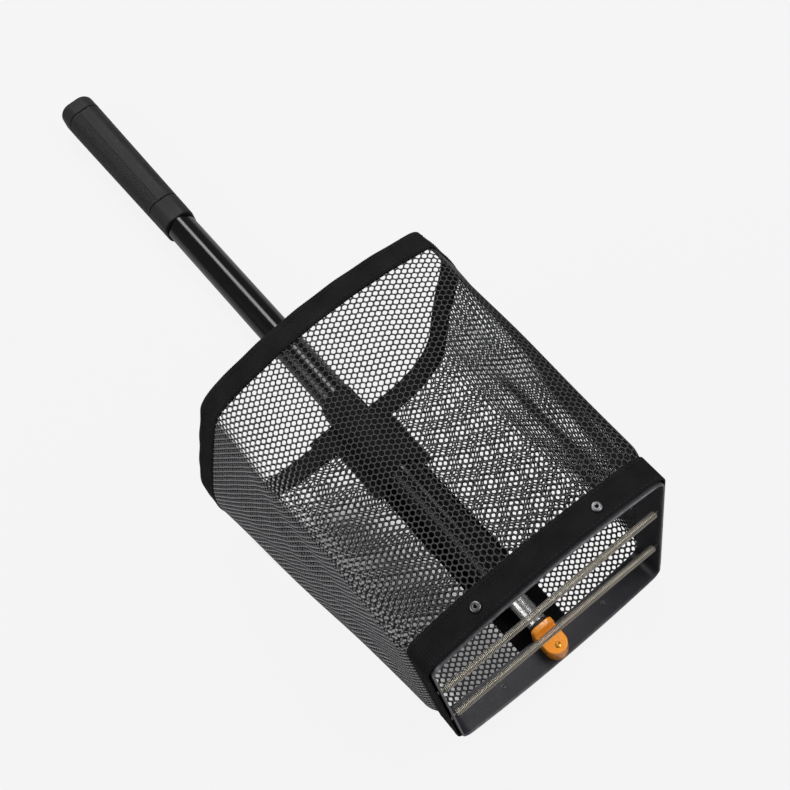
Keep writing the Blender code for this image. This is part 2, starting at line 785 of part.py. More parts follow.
def make_fitting_screw():
    """Screw from the fitting's face down into the strip, with a cross recess in its head."""
    top = POLE_Z + SCREW_TOP_RISE
    head_foot = top - SCREW_HEAD_HEIGHT
    tip = LAYERS + GAP
    profile = [
        (0, top),
        (SCREW_HEAD_RADIUS - EDGE, top),
        (SCREW_HEAD_RADIUS, top - EDGE),
        (SCREW_HEAD_RADIUS, head_foot),
        (SCREW_RADIUS, head_foot),
        (SCREW_RADIUS, tip + EDGE),
        (SCREW_RADIUS - EDGE, tip),
        (0, tip),
    ]
    item = add_part("fitting_screw", turned_mesh("fitting_screw", profile), "nickel")
    add_screw(item, SMALL_STEPS)
    place(item, (0, SCREW_PLACE, 0))
    depth = SCREW_HEAD_HEIGHT
    centre = (0, SCREW_PLACE, top)
    cut(item, box_cutter("recess_across", (RECESS_LENGTH, RECESS_WIDTH, depth), centre))
    cut(item, box_cutter("recess_along", (RECESS_WIDTH, RECESS_LENGTH, depth), centre))
    return item


def make_fitting_pin():
    """Pin through the inner tube and the plug inside it."""
    half = INNER_RADIUS
    profile = [
        (0, half),
        (PIN_RADIUS - EDGE, half),
        (PIN_RADIUS, half - EDGE),
        (PIN_RADIUS, EDGE - half),
        (PIN_RADIUS - EDGE, -half),
        (0, -half),
    ]
    item = add_part("fitting_pin", turned_mesh("fitting_pin", profile), "chrome")
    add_screw(item, SMALL_STEPS)
    return place(item, (0, SHOULDER + PIN_PLACE, POLE_Z))


# Telescopic pole


def end_bush(name, inside, around, start, finish="nylon"):
    """Ring inside the foot of a tube, with a flange under its end, around the section that it guides."""
    radius, wall = inside
    bore = around + GAP
    sleeve = radius - wall - GAP
    foot = start - GAP - BUSH_FLANGE
    profile = [
        (sleeve, start + BUSH_LENGTH),
        (sleeve, start - GAP),
        (radius, start - GAP),
        (radius, foot + EDGE),
        (radius - EDGE, foot),
        (bore, foot),
        (bore, start + BUSH_LENGTH),
    ]
    return turned(name, profile, finish)


def lock_cap(name, on, inside, start, finish="nylon"):
    """Cap on a section's upper end: it grips the next tube, slides in it, and stops it at full length."""
    radius, wall = inside
    outer = radius - wall - GAP
    bore = on + GAP
    top = start + LOCK_LENGTH
    profile = [
        (0, top),
        (outer, top),
        (outer, start),
        (bore, start),
        (bore, top - LOCK_CAP),
        (0, top - LOCK_CAP),
    ]
    return turned(name, profile, finish)


def make_pole(pin_cutter):
    outer = (OUTER_RADIUS, OUTER_WALL)
    middle = (MIDDLE_RADIUS, MIDDLE_WALL)
    inner_tube = tube("inner_tube", INNER_RADIUS, INNER_WALL, INNER_START, INNER_END, "chrome")
    cut(inner_tube, pin_cutter)
    lock_cap("inner_tube_lock", INNER_RADIUS, middle, INNER_LOCK_START)
    tube("middle_tube", *middle, MIDDLE_START, MIDDLE_END, "chrome")
    end_bush("middle_tube_bush", middle, INNER_RADIUS, MIDDLE_START)
    lock_cap("middle_tube_lock", MIDDLE_RADIUS, outer, MIDDLE_LOCK_START)
    tube("outer_tube", *outer, OUTER_START, OUTER_END, "gloss_black")
    end_bush("outer_tube_bush", outer, MIDDLE_RADIUS, OUTER_START, "gloss_black")
    plug_radius = OUTER_RADIUS - OUTER_WALL - GAP
    plug_end = OUTER_END - GAP
    plug_start = plug_end - TUBE_PLUG_LENGTH
    profile = [(0, plug_end), (plug_radius, plug_end), (plug_radius, plug_start), (0, plug_start)]
    turned("outer_tube_plug", profile, "nylon")


# Grip


def rounded_square(size, radius):
    """Clockwise outline about the pole's axis, as (x, z)."""
    points = []
    middle = size / 2 - radius
    for corner in range(4):
        turn = -corner * math.pi / 2
        for angle in np.linspace(math.pi / 2, 0, GRIP_CORNER_STEPS + 1):
            x = middle + radius * math.cos(angle)
            z = middle + radius * math.sin(angle)
            points.append((x * math.cos(turn) - z * math.sin(turn), x * math.sin(turn) + z * math.cos(turn)))
    return [(x, POLE_Z + z) for x, z in points]


def bore_outline():
    radius = OUTER_RADIUS + GAP
    angles = np.linspace(0, 2 * math.pi, TUBE_STEPS + 1)[:-1]
    return [(radius * math.cos(a), POLE_Z + radius * math.sin(a)) for a in angles]


def make_grip():
    outline = rounded_square(GRIP_SIZE, GRIP_CORNER_RADIUS)
    ferrule = plate("grip_ferrule", [outline, bore_outline()], GRIP_START, FERRULE_LENGTH, "black_rubber")
    body = plate("grip_sleeve", [outline, bore_outline()], GRIP_BODY_START, GRIP_LENGTH, "black_rubber")
    cap = plate("grip_end_cap", [outline], CAP_START, CAP_LENGTH, "black_rubber")
    bevel(ferrule, GRIP_EDGE)
    bevel(body, GRIP_EDGE)
    socket = cylinder_cutter("cap_socket", OUTER_RADIUS + GAP, 2 * (CAP_SOCKET_DEPTH + GAP),
                             (0, CAP_START, POLE_Z), (math.pi / 2, 0, 0), TUBE_STEPS)
    bevel(cap, CAP_EDGE, 3)
    cut(cap, socket)


def main():
    rivet_cutters = make_rivet_cutters()
    hook_cutters = []
    for name, side in (("hook_hole_front", 1), ("hook_hole_rear", -1)):
        hook_cutters.append(cylinder_cutter(name, HOOK_HOLE_RADIUS, MOUTH_WIDTH * 1.2,
                                            (0, SPRING_INSET, spring_height(side)), (0, math.pi / 2, 0)))
    screw_cutter = cylinder_cutter("screw_hole", SCREW_RADIUS + GAP, 3 * POLE_Z, (0, SCREW_PLACE, POLE_Z))
    head_seat = POLE_Z + SCREW_TOP_RISE - SCREW_HEAD_HEIGHT - GAP
    head_cutter = cylinder_cutter("screw_head_seat", SCREW_HEAD_RADIUS + GAP, 4 * SCREW_HEAD_HEIGHT,
                                  (0, SCREW_PLACE, head_seat + 2 * SCREW_HEAD_HEIGHT))
    pin_cutter = cylinder_cutter("pin_hole", PIN_RADIUS + GAP, 4 * INNER_RADIUS,
                                 (0, SHOULDER + PIN_PLACE, POLE_Z))
    make_mouth_frame(rivet_cutters, hook_cutters, screw_cutter)
    make_rivets()
    make_spring("front_spring", 1)
    make_spring("rear_spring", -1)
    make_mesh_bag(rivet_cutters)
    make_bottom_hem(rivet_cutters)
    make_top_hem()
    make_stiffener()
    make_seam_tape()
    make_pole_loop()
    make_end_fitting(screw_cutter, head_cutter, pin_cutter)
    make_spacer()
    make_fitting_screw()
    make_fitting_pin()
    make_pole(pin_cutter)
    make_grip()


main()
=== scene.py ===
"""Looks of the tennis ball picker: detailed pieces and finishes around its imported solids."""

import math

import bmesh
import bpy
import numpy as np
from mathutils import Matrix, Vector


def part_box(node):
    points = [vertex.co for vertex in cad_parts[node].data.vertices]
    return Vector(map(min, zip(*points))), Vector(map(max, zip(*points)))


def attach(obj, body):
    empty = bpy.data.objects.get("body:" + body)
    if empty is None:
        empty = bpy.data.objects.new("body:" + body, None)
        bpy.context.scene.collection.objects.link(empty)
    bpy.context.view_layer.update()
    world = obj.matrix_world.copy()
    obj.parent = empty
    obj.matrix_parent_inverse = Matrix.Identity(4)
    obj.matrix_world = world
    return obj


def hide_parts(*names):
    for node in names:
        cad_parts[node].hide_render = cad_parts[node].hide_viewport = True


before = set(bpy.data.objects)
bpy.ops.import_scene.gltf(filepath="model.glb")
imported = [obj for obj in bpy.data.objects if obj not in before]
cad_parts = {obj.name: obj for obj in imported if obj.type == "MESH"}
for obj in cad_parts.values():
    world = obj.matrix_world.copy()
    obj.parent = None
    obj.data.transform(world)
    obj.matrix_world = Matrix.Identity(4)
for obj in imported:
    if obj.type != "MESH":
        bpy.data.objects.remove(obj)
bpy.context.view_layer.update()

# Sizes that the frame gives
STRIP_LOW, STRIP_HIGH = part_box("mouth_frame")
RIM_Y = STRIP_LOW.y
MOUTH_WIDTH = STRIP_HIGH.x - STRIP_LOW.x
MOUTH_HEIGHT = STRIP_HIGH.z - STRIP_LOW.z
MOUTH_CENTRE_Z = (STRIP_HIGH.z + STRIP_LOW.z) / 2
HOOP_LOW, HOOP_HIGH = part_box("hoop_stiffener")
HEM_LOW, HEM_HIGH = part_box("top_hem")
LOWER_HEM_LOW, LOWER_HEM_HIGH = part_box("bottom_hem")
POLE_Z = (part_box("outer_tube")[0].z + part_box("outer_tube")[1].z) / 2

# Sizes that the frame doesn't give, in metres
GAP = 0.0003
STRIP_THICKNESS = 0.0012
MOUTH_ARCH = 0.0085
MOUTH_CORNER_RADIUS = 0.009
STIFFENER_THICKNESS = 0.001
MESH_THICKNESS = 0.0008
LOWER_TAPE_THICKNESS = 0.0012
UPPER_TAPE_THICKNESS = 0.0006

# The soft hoop is pushed askew in the photo: its angles about Z and about X in radians, and its corners,
# their rounding and the bow of the side after each, from the upper left corner to the right and round
HOOP_TILT = -0.0198
HOOP_LEAN = -0.0775
HOOP_FLOOR = HOOP_LOW.z + STIFFENER_THICKNESS / 2
HOOP_CORNERS = ((-0.0832, 0.1584), (0.0817, 0.1722), (0.1000, 0.1217), (0.0740, HOOP_FLOOR),
                (-0.1282, HOOP_FLOOR))
HOOP_ROUNDING = (0.0106, 0.0046, 0.0174, 0.0499, 0.0812)
HOOP_BOWS = (0.0148, 0.0, -0.0043, 0.0, 0.0033)

ARCH_RADIUS = ((MOUTH_WIDTH / 2) ** 2 + MOUTH_ARCH ** 2) / (2 * MOUTH_ARCH)
MOUTH_LAYERS = LOWER_HEM_HIGH.z - STRIP_HIGH.z
HEM_HALF = (HEM_HIGH.x - HEM_LOW.x - HOOP_HIGH.x + HOOP_LOW.x) / 2 + STIFFENER_THICKNESS / 2
HOOP_CENTRE_Z = (HOOP_HIGH.z + HOOP_LOW.z) / 2


def turned(steps):
    """Angles of that many even steps round a full turn."""
    return np.linspace(0, 2 * math.pi, steps, endpoint=False)


# Outlines


class Outline:
    """A closed outline in X and Z, walked by shares from its top's middle towards +X."""

    def __init__(self, x, z, turn):
        """Points in walking order, each with its outward direction's angle from +Z towards +X."""
        x = np.append(x, x[0])
        z = np.append(z, z[0])
        run = np.concatenate([[0], np.cumsum(np.hypot(np.diff(x), np.diff(z)))])
        self.share = run / run[-1]
        self.x = x
        self.z = z
        self.out_x = np.append(np.sin(turn), math.sin(turn[0]))
        self.out_z = np.append(np.cos(turn), math.cos(turn[0]))
        self.length = run[-1]
        self.start = 0.0

    def at(self, share, outwards=0.0):
        """Points and outward directions at shares of the way round."""
        share = np.mod(share + self.start, 1)
        out_x = np.interp(share, self.share, self.out_x)
        out_z = np.interp(share, self.share, self.out_z)
        size = np.hypot(out_x, out_z)
        out_x = out_x / size
        out_z = out_z / size
        x = np.interp(share, self.share, self.x) + outwards * out_x
        z = np.interp(share, self.share, self.z) + outwards * out_z
        return x, z, out_x, out_z


def mirrored(x, z, turn):
    """A quarter from the top's middle to the right side's middle, repeated on all four sides."""
    half_x = np.concatenate([x, x[-2::-1]])
    half_z = np.concatenate([z, -z[-2::-1]])
    half_turn = np.concatenate([turn, math.pi - turn[-2::-1]])
    return (np.concatenate([half_x, -half_x[-2:0:-1]]), np.concatenate([half_z, half_z[-2:0:-1]]),
            np.concatenate([half_turn, -half_turn[-2:0:-1]]))


def mouth_curve():
    """The strip's outer face: long sides that arch outwards, small round corners, straight short sides."""
    chord = MOUTH_WIDTH / 2
    arch_centre = MOUTH_HEIGHT / 2 - ARCH_RADIUS
    side = chord - MOUTH_CORNER_RADIUS
    corner_z = arch_centre + math.sqrt((ARCH_RADIUS - MOUTH_CORNER_RADIUS) ** 2 - side ** 2)
    corner = math.atan2(side, corner_z - arch_centre)
    turn = np.concatenate([np.linspace(0, corner, 80), np.linspace(corner, math.pi / 2, 60)[1:]])
    round_part = turn > corner
    x = np.where(round_part, side + MOUTH_CORNER_RADIUS * np.sin(turn), ARCH_RADIUS * np.sin(turn))
    z = np.where(round_part, corner_z + MOUTH_CORNER_RADIUS * np.cos(turn),
                 arch_centre + ARCH_RADIUS * np.cos(turn))
    x = np.append(x, np.full(20, chord))
    z = np.append(z, np.linspace(z[-1], 0, 21)[1:])
    turn = np.append(turn, np.full(20, math.pi / 2))
    x, z, turn = mirrored(x, z, turn)
    return Outline(x, MOUTH_CENTRE_Z + z, turn)


def hoop_curve():
    """The stiffener's middle line: bowed sides with round corners, its lower side flat on the floor."""
    corners = np.array(HOOP_CORNERS)
    sides = []
    for i, bow in enumerate(HOOP_BOWS):
        run = corners[(i + 1) % len(corners)] - corners[i]
        length = np.linalg.norm(run)
        along = run / length
        across = np.array([-along[1], along[0]])
        end_rounding = HOOP_ROUNDING[(i + 1) % len(corners)]
        share = np.linspace(HOOP_ROUNDING[i] / length, 1 - end_rounding / length, 120)[:, None]
        sides.append(corners[i] + share * run + 4 * share * (1 - share) * bow * across)
    line = []
    share = np.linspace(0, 1, 62)[1:-1, None]
    for i, side in enumerate(sides):
        curve = (1 - share) ** 2 * sides[i - 1][-1] + 2 * share * (1 - share) * corners[i]
        line += [curve + share ** 2 * side[0], side]
    x, z = np.concatenate(line).T
    turn = np.arctan2(np.roll(z, 1) - np.roll(z, -1), np.roll(x, -1) - np.roll(x, 1))
    outline = Outline(x, z, turn)
    flat = outline.z < HOOP_FLOOR + 1e-6
    outline.start = np.interp(0, outline.x[flat][::-1], outline.share[flat][::-1]) - 0.5
    return outline


MOUTH = mouth_curve()
HOOP = hoop_curve()


def share_nearest(outline, x, z):
    """The share of the way round at which an outline comes nearest to a point."""
    shares = np.linspace(0, 1, 4000, endpoint=False)
    line_x, line_z, *_ = outline.at(shares)
    return shares[np.argmin((line_x - x) ** 2 + (line_z - z) ** 2)]


# The places on the hoop, in X and Z, that the mesh runs to from the mouth's corners, and one above the hoop
HOOP_TARGETS = ((0.0880, 0.1600), (0.0800, 0.0240), (-0.1090, 0.0320), (-0.0810, 0.1590))
ABOVE_HOOP = (0.0, 0.2)


def matched_shares():
    """Shares of the mouth's four corners, and of the places on the hoop that the mesh runs to from them."""
    half = MOUTH_WIDTH / 2
    low = MOUTH_CENTRE_Z - MOUTH_HEIGHT / 2 + MOUTH_ARCH
    high = MOUTH_CENTRE_Z + MOUTH_HEIGHT / 2 - MOUTH_ARCH
    corners = ((half, high), (half, low), (-half, low), (-half, high))
    from_mouth = [share_nearest(MOUTH, x, z) for x, z in corners]
    to_hoop = [share_nearest(HOOP, x, z) for x, z in HOOP_TARGETS]
    from_mouth = np.array([0.0, *from_mouth[:2], 0.5, *from_mouth[2:], 1.0])
    top = share_nearest(HOOP, *ABOVE_HOOP)
    top = top - 1 if top > 0.5 else top
    return from_mouth, np.array([top, *to_hoop[:2], 0.5, *to_hoop[2:], top + 1])


MOUTH_SHARES, HOOP_SHARES = matched_shares()


def to_hoop_share(share):
    """The hoop's share that the mesh reaches from a share of the mouth."""
    return np.interp(np.mod(share, 1), MOUTH_SHARES, HOOP_SHARES)


# The bag's wall


WALL_START = LOWER_HEM_HIGH.y + GAP
WALL_END = HEM_LOW.y - GAP
SIDE_SAG = -0.0003
FRONT_SAG = 0.0025
MOUTH_LIFT = 0.0036
MOUTH_LIFT_RIGHT = 0.0020
LIFT_START = 0.05
WRINKLE = 0.0009

# Waves of the slack cloth: size, number of them round the bag, turn on the way up and start, in radians
WAVES = ((1.0, 11, 4, 0), (0.7, 17, -7, 1))


def hoop_shift(x, z):
    """How far the askew hoop moves each of its points along the pole."""
    return x * math.tan(HOOP_TILT) + (z - HOOP_CENTRE_Z) * math.tan(HOOP_LEAN)


def wall(share, y, outwards=0.0):
    """Points of the mesh's middle surface, moved outwards: taut at both ends and slack between them."""
    share, y, outwards = np.broadcast_arrays(share, y, outwards)
    low_x, low_z, low_out_x, low_out_z = MOUTH.at(share, GAP + MESH_THICKNESS / 2)
    high_x, high_z, high_out_x, high_out_z = HOOP.at(to_hoop_share(share))
    rise = np.clip((y - WALL_START) / (WALL_END - WALL_START), 0, 1)
    x = low_x + (high_x - low_x) * rise
    z = low_z + (high_z - low_z) * rise
    out_x = low_out_x + (high_out_x - low_out_x) * rise
    out_z = low_out_z + (high_out_z - low_out_z) * rise
    slack = np.sin(math.pi * rise)
    lying = np.clip(-out_z, 0, 1)
    sag = SIDE_SAG * np.abs(out_x) ** 2 + FRONT_SAG * np.clip(out_z, 0, 1) ** 2
    turns = 2 * math.pi * share
    wave = sum(size * np.sin(count * turns + climb * rise + start) for size, count, climb, start in WAVES)
    lift = MOUTH_LIFT + (MOUTH_LIFT_RIGHT - MOUTH_LIFT) * np.clip(out_x, 0, 1)
    lift = lift * np.sin(np.clip(rise / LIFT_START, 0, 1) * math.pi / 2) * (1 - rise) ** 2
    inwards = slack * (sag + WRINKLE * (1 - lying) * wave) - lift * (1 - lying)
    x = x + (outwards - inwards) * out_x
    z = z + (outwards - inwards) * out_z
    y = y + hoop_shift(x, z) * rise ** 1.5
    return np.stack([x, y, z], -1)


# Ways to make a mesh


def new_piece(name, points, faces, look, body="bag", replaces=(), angle=None, uv=None, weld=False):
    """A smooth mesh with its faces outwards, in its finish and riding on its body, one uv for each point."""
    mesh = bpy.data.meshes.new(name)
    mesh.from_pydata(np.asarray(points).tolist(), [], faces)
    mesh.update()
    if uv is not None:
        layer = mesh.uv_layers.new(name="UVMap")
        corners = np.zeros(len(mesh.loops), dtype=np.int32)
        mesh.loops.foreach_get("vertex_index", corners)
        layer.data.foreach_set("uv", np.asarray(uv, dtype=np.float32)[corners].ravel())
    mesh.shade_smooth()
    if angle is not None:
        mesh.set_sharp_from_angle(angle=math.radians(angle))
    item = bpy.data.objects.new(name, mesh)
    bpy.context.scene.collection.objects.link(item)
    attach(item, body)
    if replaces:
        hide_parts(*replaces)
    bm = bmesh.new()
    bm.from_mesh(mesh)
    if weld:
        bmesh.ops.remove_doubles(bm, verts=bm.verts, dist=1e-7)
        bmesh.ops.dissolve_degenerate(bm, edges=bm.edges, dist=1e-7)
    bmesh.ops.recalc_face_normals(bm, faces=bm.faces)
    bm.to_mesh(mesh)
    bm.free()
    return finish_as(item, look)


def grid_faces(rows, columns, close_rows=False, close_columns=False):
    """Quads over points that are stored row by row."""
    row_count = rows if close_rows else rows - 1
    column_count = columns if close_columns else columns - 1
    r, c = np.meshgrid(np.arange(row_count), np.arange(column_count), indexing="ij")
    r = r.ravel()
    c = c.ravel()
    next_r = (r + 1) % rows
    next_c = (c + 1) % columns
    r, next_r = r * columns, next_r * columns
    return np.stack([r + c, r + next_c, next_r + next_c, next_r + c], -1).tolist()


def end_faces(rows, columns):
    """The two faces that close a tube of points at its ends."""
    return [list(range(columns))[::-1], list(range((rows - 1) * columns, rows * columns))]


def moulding(name, rows, closed=False, **options):
    """A piece from rows of points around it, which close on themselves or else end in two flat faces."""
    count, around = rows.shape[:2]
    faces = grid_faces(count, around, close_rows=closed, close_columns=True)
    faces += [] if closed else end_faces(count, around)
    return new_piece(name, rows.reshape(-1, 3), faces, **options)


def thick_sheet(name, one, other, **options):
    """A sheet between two grids of points, closed along its rim."""
    rows, columns = one.shape[:2]
    count = rows * columns
    rim = [*range(columns), *range(2 * columns - 1, count, columns)]
    rim += [*range(count - 2, count - columns - 1, -1), *range(count - 2 * columns, 0, -columns)]
    faces = grid_faces(rows, columns)
    faces += [[count + i for i in face][::-1] for face in faces]
    faces += [[a, b, b + count, a + count] for a, b in zip(rim, rim[1:] + rim[:1])]
    return new_piece(name, np.concatenate([one.reshape(-1, 3), other.reshape(-1, 3)]), faces, **options)


LATHE_SHARP_DEGREES = 40


def lathe(name, profile, steps, centre, axis, **options):
    """A profile of (radius, place along the axis), turned about the axis and closed where its radius is 0."""
    radius, along = (np.array(values, float)[:, None] for values in zip(*profile))
    a = radius * np.cos(turned(steps))
    b = radius * np.sin(turned(steps))
    along = np.broadcast_to(along, a.shape)
    rows = np.stack({"Y": (a, along, b), "Z": (a, b, along)}[axis], -1) + np.array(centre)
    item = moulding(name, rows, closed=radius[0, 0] > 0, weld=True, **options)
    item.data.set_sharp_from_angle(angle=math.radians(LATHE_SHARP_DEGREES))
    return item


def soft_profile(points, radius):
    """A closed profile with each of its corners rounded."""
    made = []
    for i in range(len(points)):
        before, corner, after = (Vector(points[j % len(points)]) for j in (i - 1, i, i + 1))
        start = corner + (before - corner).normalized() * radius
        end = corner + (after - corner).normalized() * radius
        made += [tuple(start.lerp(corner, s).lerp(corner.lerp(end, s), s)) for s in np.linspace(0, 1, 5)]
    return made


def wire(name, path, radius, sides, **options):
    """A round wire along a path, with closed ends."""
    path = np.asarray(path, float)
    tangent = np.gradient(path, axis=0)
    tangent /= np.linalg.norm(tangent, axis=1)[:, None]
    side = np.zeros_like(path)
    guess = np.array([0.0, 1.0, 0.0]) if abs(tangent[0][1]) < 0.9 else np.array([1.0, 0.0, 0.0])
    for i, direction in enumerate(tangent):
        guess = guess - direction * guess.dot(direction)
        guess /= np.linalg.norm(guess)
        side[i] = guess
    other = np.cross(tangent, side)
    angles = turned(sides)
    spokes = side[:, None] * np.cos(angles)[:, None] + other[:, None] * np.sin(angles)[:, None]
    return moulding(name, path[:, None] + radius * spokes, **options)


def rectangle(across, along, rounding):
    """A closed section with round corners, from its limits in both directions."""
    (inner, outer), (low, high) = across, along
    return soft_profile([(inner, low), (outer, low), (outer, high), (inner, high)], rounding)


def carry(name, section, place, steps, **options):
    """Carries a closed section around an outline: place(share, outwards, y) gives the points."""
    share = np.linspace(0, 1, steps, endpoint=False)
    outwards, along = np.array(section, float).T
    points = place(share[:, None], outwards[None, :], along[None, :])
    length = np.concatenate([[0], np.cumsum(np.hypot(np.diff(outwards), np.diff(along)))])
    uv = np.stack(np.broadcast_arrays(share[:, None] * MOUTH.length, length[None, :]), -1).reshape(-1, 2)
    return moulding(name, points, closed=True, uv=uv, **options)


# Finishes


class Look:
    """A procedural material's nodes, with short ways to add and join them."""

    def __init__(self, name, **values):
        self.material = bpy.data.materials.new(name)
        self.material.use_nodes = True
        self.tree = self.material.node_tree
        self.shader = self.tree.nodes["Principled BSDF"]
        self.place = self.add("ShaderNodeTexCoord").outputs["Object"]
        self.shade(**values)

    def add(self, kind, **settings):
        node = self.tree.nodes.new(kind)
        for key, value in settings.items():
            setattr(node, key, value)
        return node

    def join(self, value, socket):
        """Links a node's output to a socket, or sets the socket to a plain value."""
        if isinstance(value, bpy.types.NodeSocket):
            self.tree.links.new(value, socket)
        else:
            socket.default_value = value

    def put(self, node, **values):
        """Sets or joins a node's inputs by name."""
        for name, value in values.items():
            self.join(value, node.inputs[name.replace("_", " ")])
        return node

    def shade(self, **values):
        """Sets or joins the shader's inputs by name, and gives the material."""
        self.put(self.shader, **values)
        return self.material

    def noise(self, scale, detail, roughness):
        node = self.put(self.add("ShaderNodeTexNoise"), Vector=self.place, Scale=scale, Detail=detail,
                        Roughness=roughness)
        return node.outputs["Fac"]

    def ramp(self, value, *stops):
        """A ramp from (place, colour) stops."""
        node = self.put(self.add("ShaderNodeValToRGB"), Fac=value)
        elements = node.color_ramp.elements
        while len(elements) < len(stops):
            elements.new(0.5)
        for element, (place, colour) in zip(elements, stops):
            element.position = place
            element.color = (*colour, 1)
        return node.outputs["Color"]

    def between(self, value, low, high, to_low=0.0, to_high=1.0):
        node = self.put(self.add("ShaderNodeMapRange", clamp=True), Value=value, From_Min=low, From_Max=high,
                        To_Min=to_low, To_Max=to_high)
        return node.outputs["Result"]

    def mix(self, share, a, b):
        node = self.add("ShaderNodeMix", data_type="RGBA")
        for index, value in ((0, share), (6, a), (7, b)):
            self.join(value, node.inputs[index])
        return node.outputs[2]

    def maths(self, operation, a, b, kind="ShaderNodeMath"):
        node = self.add(kind, operation=operation)
        self.join(a, node.inputs[0])
        self.join(b, node.inputs[1])
        return node.outputs[0]

    def mean(self, a, b):
        return self.maths("MULTIPLY", self.maths("ADD", a, b), 0.5)

    def attribute(self, name):
        return self.add("ShaderNodeAttribute", attribute_name=name).outputs["Fac"]

    def along(self, axis):
        """One of the three coordinates of the place."""
        node = self.add("ShaderNodeSeparateXYZ")
        self.join(self.place, node.inputs[0])
        return node.outputs[axis]

    def relief(self, height, distance, strength):
        node = self.put(self.add("ShaderNodeBump"), Height=height, Distance=distance, Strength=strength)
        return node.outputs["Normal"]


def yarn(name, grain, shine, sheen):
    """A yarn's look without its colour, and its fibres: uneven, with a fine relief and a soft sheen."""
    look = Look(name, Specular_IOR_Level=shine, Sheen_Weight=sheen, Sheen_Roughness=0.4,
                Sheen_Tint=(0.55, 0.56, 0.60, 1))
    fibres = look.noise(grain, 5, 0.7)
    look.shade(Roughness=look.between(fibres, 0.3, 0.7, 0.62, 0.88), Normal=look.relief(fibres, 0.00025, 0.7))
    return look, fibres


def cloth_look(name, dark, light, grain, sheen, shine=0.08):
    """Black yarn with small changes of tone."""
    look, fibres = yarn(name, grain, shine, sheen)
    tone = look.mean(fibres, look.noise(60, 3, 0.5))
    return look.shade(Base_Color=look.ramp(tone, (0.36, dark), (0.64, light)))


# The painted highlight's peak on the left wall, and its ramp from painted shade at the holes' edges up to
# that peak
LEFT_PAINTED_LIGHT = 1.6
PAINTED_LIGHT_RAMP = ((0.28, (0.008, 0.008, 0.0085)), (0.60, (0.074, 0.074, 0.077)), (1.0, (0.36, 0.36, 0.37)))


def mesh_look():
    """Black yarn with a painted highlight along the crown of each strand and painted shade beside the holes.
    """
    look, fibres = yarn("mesh_yarn", 2600, 0.06, 0.05)
    across = look.ramp(look.maths("DIVIDE", look.attribute("painted_crown_light"), LEFT_PAINTED_LIGHT), *PAINTED_LIGHT_RAMP)
    uneven = look.between(fibres, 0.36, 0.64, 0.5, 1.5)
    return look.shade(Base_Color=look.maths("MULTIPLY", across, uneven, "ShaderNodeVectorMath"))


def paint_look():
    """Dark paint on steel strip, thin and rubbed grey along the rim."""
    look = Look("strip_paint", Specular_IOR_Level=0.45)
    rubbed = look.noise(320, 4, 0.6)
    reach = look.maths("MULTIPLY", look.maths("SUBTRACT", rubbed, 0.5), 0.0006)
    worn = look.between(look.maths("ADD", look.along(1), reach), RIM_Y + 0.0004, RIM_Y + 0.0018, 0.55, 0.0)
    fine = look.noise(420, 4, 0.6)
    paint = look.ramp(fine, (0.3, (0.011, 0.011, 0.015)), (0.75, (0.019, 0.019, 0.025)))
    metal = look.ramp(rubbed, (0.3, (0.10, 0.10, 0.11)), (0.7, (0.24, 0.24, 0.25)))
    return look.shade(Base_Color=look.mix(worn, paint, metal), Metallic=worn,
                      Roughness=look.between(fine, 0.3, 0.7, 0.36, 0.46),
                      Normal=look.relief(fine, 0.00005, 0.5))


def metal_look(name, low, high, roughness, grain=40, relief=0.0):
    """Bare or plated metal, a little cloudy."""
    look = Look(name, Metallic=1.0)
    clouds = look.noise(grain, 3, 0.5)
    if relief:
        look.shade(Normal=look.relief(look.noise(grain * 12, 3, 0.5), relief, 0.5))
    return look.shade(Base_Color=look.ramp(clouds, (0.3, low), (0.7, high)),
                      Roughness=look.between(clouds, 0.35, 0.65, *roughness))


def gloss_look():
    """Glossy black lacquer with faint orange peel and a little dust."""
    look = Look("gloss_black_lacquer", Specular_IOR_Level=0.3)
    tones = (0.64, (0.0022, 0.0022, 0.0025)), (0.82, (0.016, 0.016, 0.017))
    return look.shade(Base_Color=look.ramp(look.noise(1500, 2, 0.5), *tones),
                      Roughness=look.between(look.noise(60, 4, 0.6), 0.3, 0.7, 0.12, 0.18),
                      Normal=look.relief(look.noise(420, 2, 0.5), 0.000012, 0.3))


def rubber_look():
    """Matt moulded rubber, its fine grain a little paler on the high spots."""
    look = Look("grip_rubber", Specular_IOR_Level=0.22)
    grain = look.noise(1800, 3, 0.6)
    patches = look.noise(40, 4, 0.6)
    tones = (0.38, (0.0045, 0.0045, 0.0052)), (0.62, (0.0100, 0.0100, 0.0110))
    return look.shade(Base_Color=look.ramp(look.mean(grain, patches), *tones),
                      Roughness=look.between(patches, 0.3, 0.7, 0.50, 0.64),
                      Normal=look.relief(grain, 0.00012, 0.8))


def orange_look():
    """Injection moulded orange plastic with slight flow marks."""
    look = Look("orange_moulding", Subsurface_Weight=0.08, Subsurface_Scale=0.004,
                Subsurface_Radius=(1.0, 0.35, 0.1), Coat_Weight=0.3, Coat_Roughness=0.12)
    grain = look.noise(900, 3, 0.6)
    tones = (0.3, (1.0, 0.330, 0.022)), (0.7, (1.0, 0.370, 0.030))
    return look.shade(Base_Color=look.ramp(look.noise(25, 2, 0.4), *tones),
                      Roughness=look.between(grain, 0.3, 0.7, 0.24, 0.34),
                      Normal=look.relief(grain, 0.00003, 0.3))


def moulded_look(name, dark, light, roughness):
    """Plain moulded nylon or rubber for what is held inside."""
    look = Look(name)
    grain = look.noise(700, 4, 0.6)
    return look.shade(Base_Color=look.ramp(grain, (0.3, dark), (0.7, light)),
                      Roughness=look.between(grain, 0.3, 0.7, roughness - 0.06, roughness + 0.06),
                      Normal=look.relief(grain, 0.00006, 0.5))


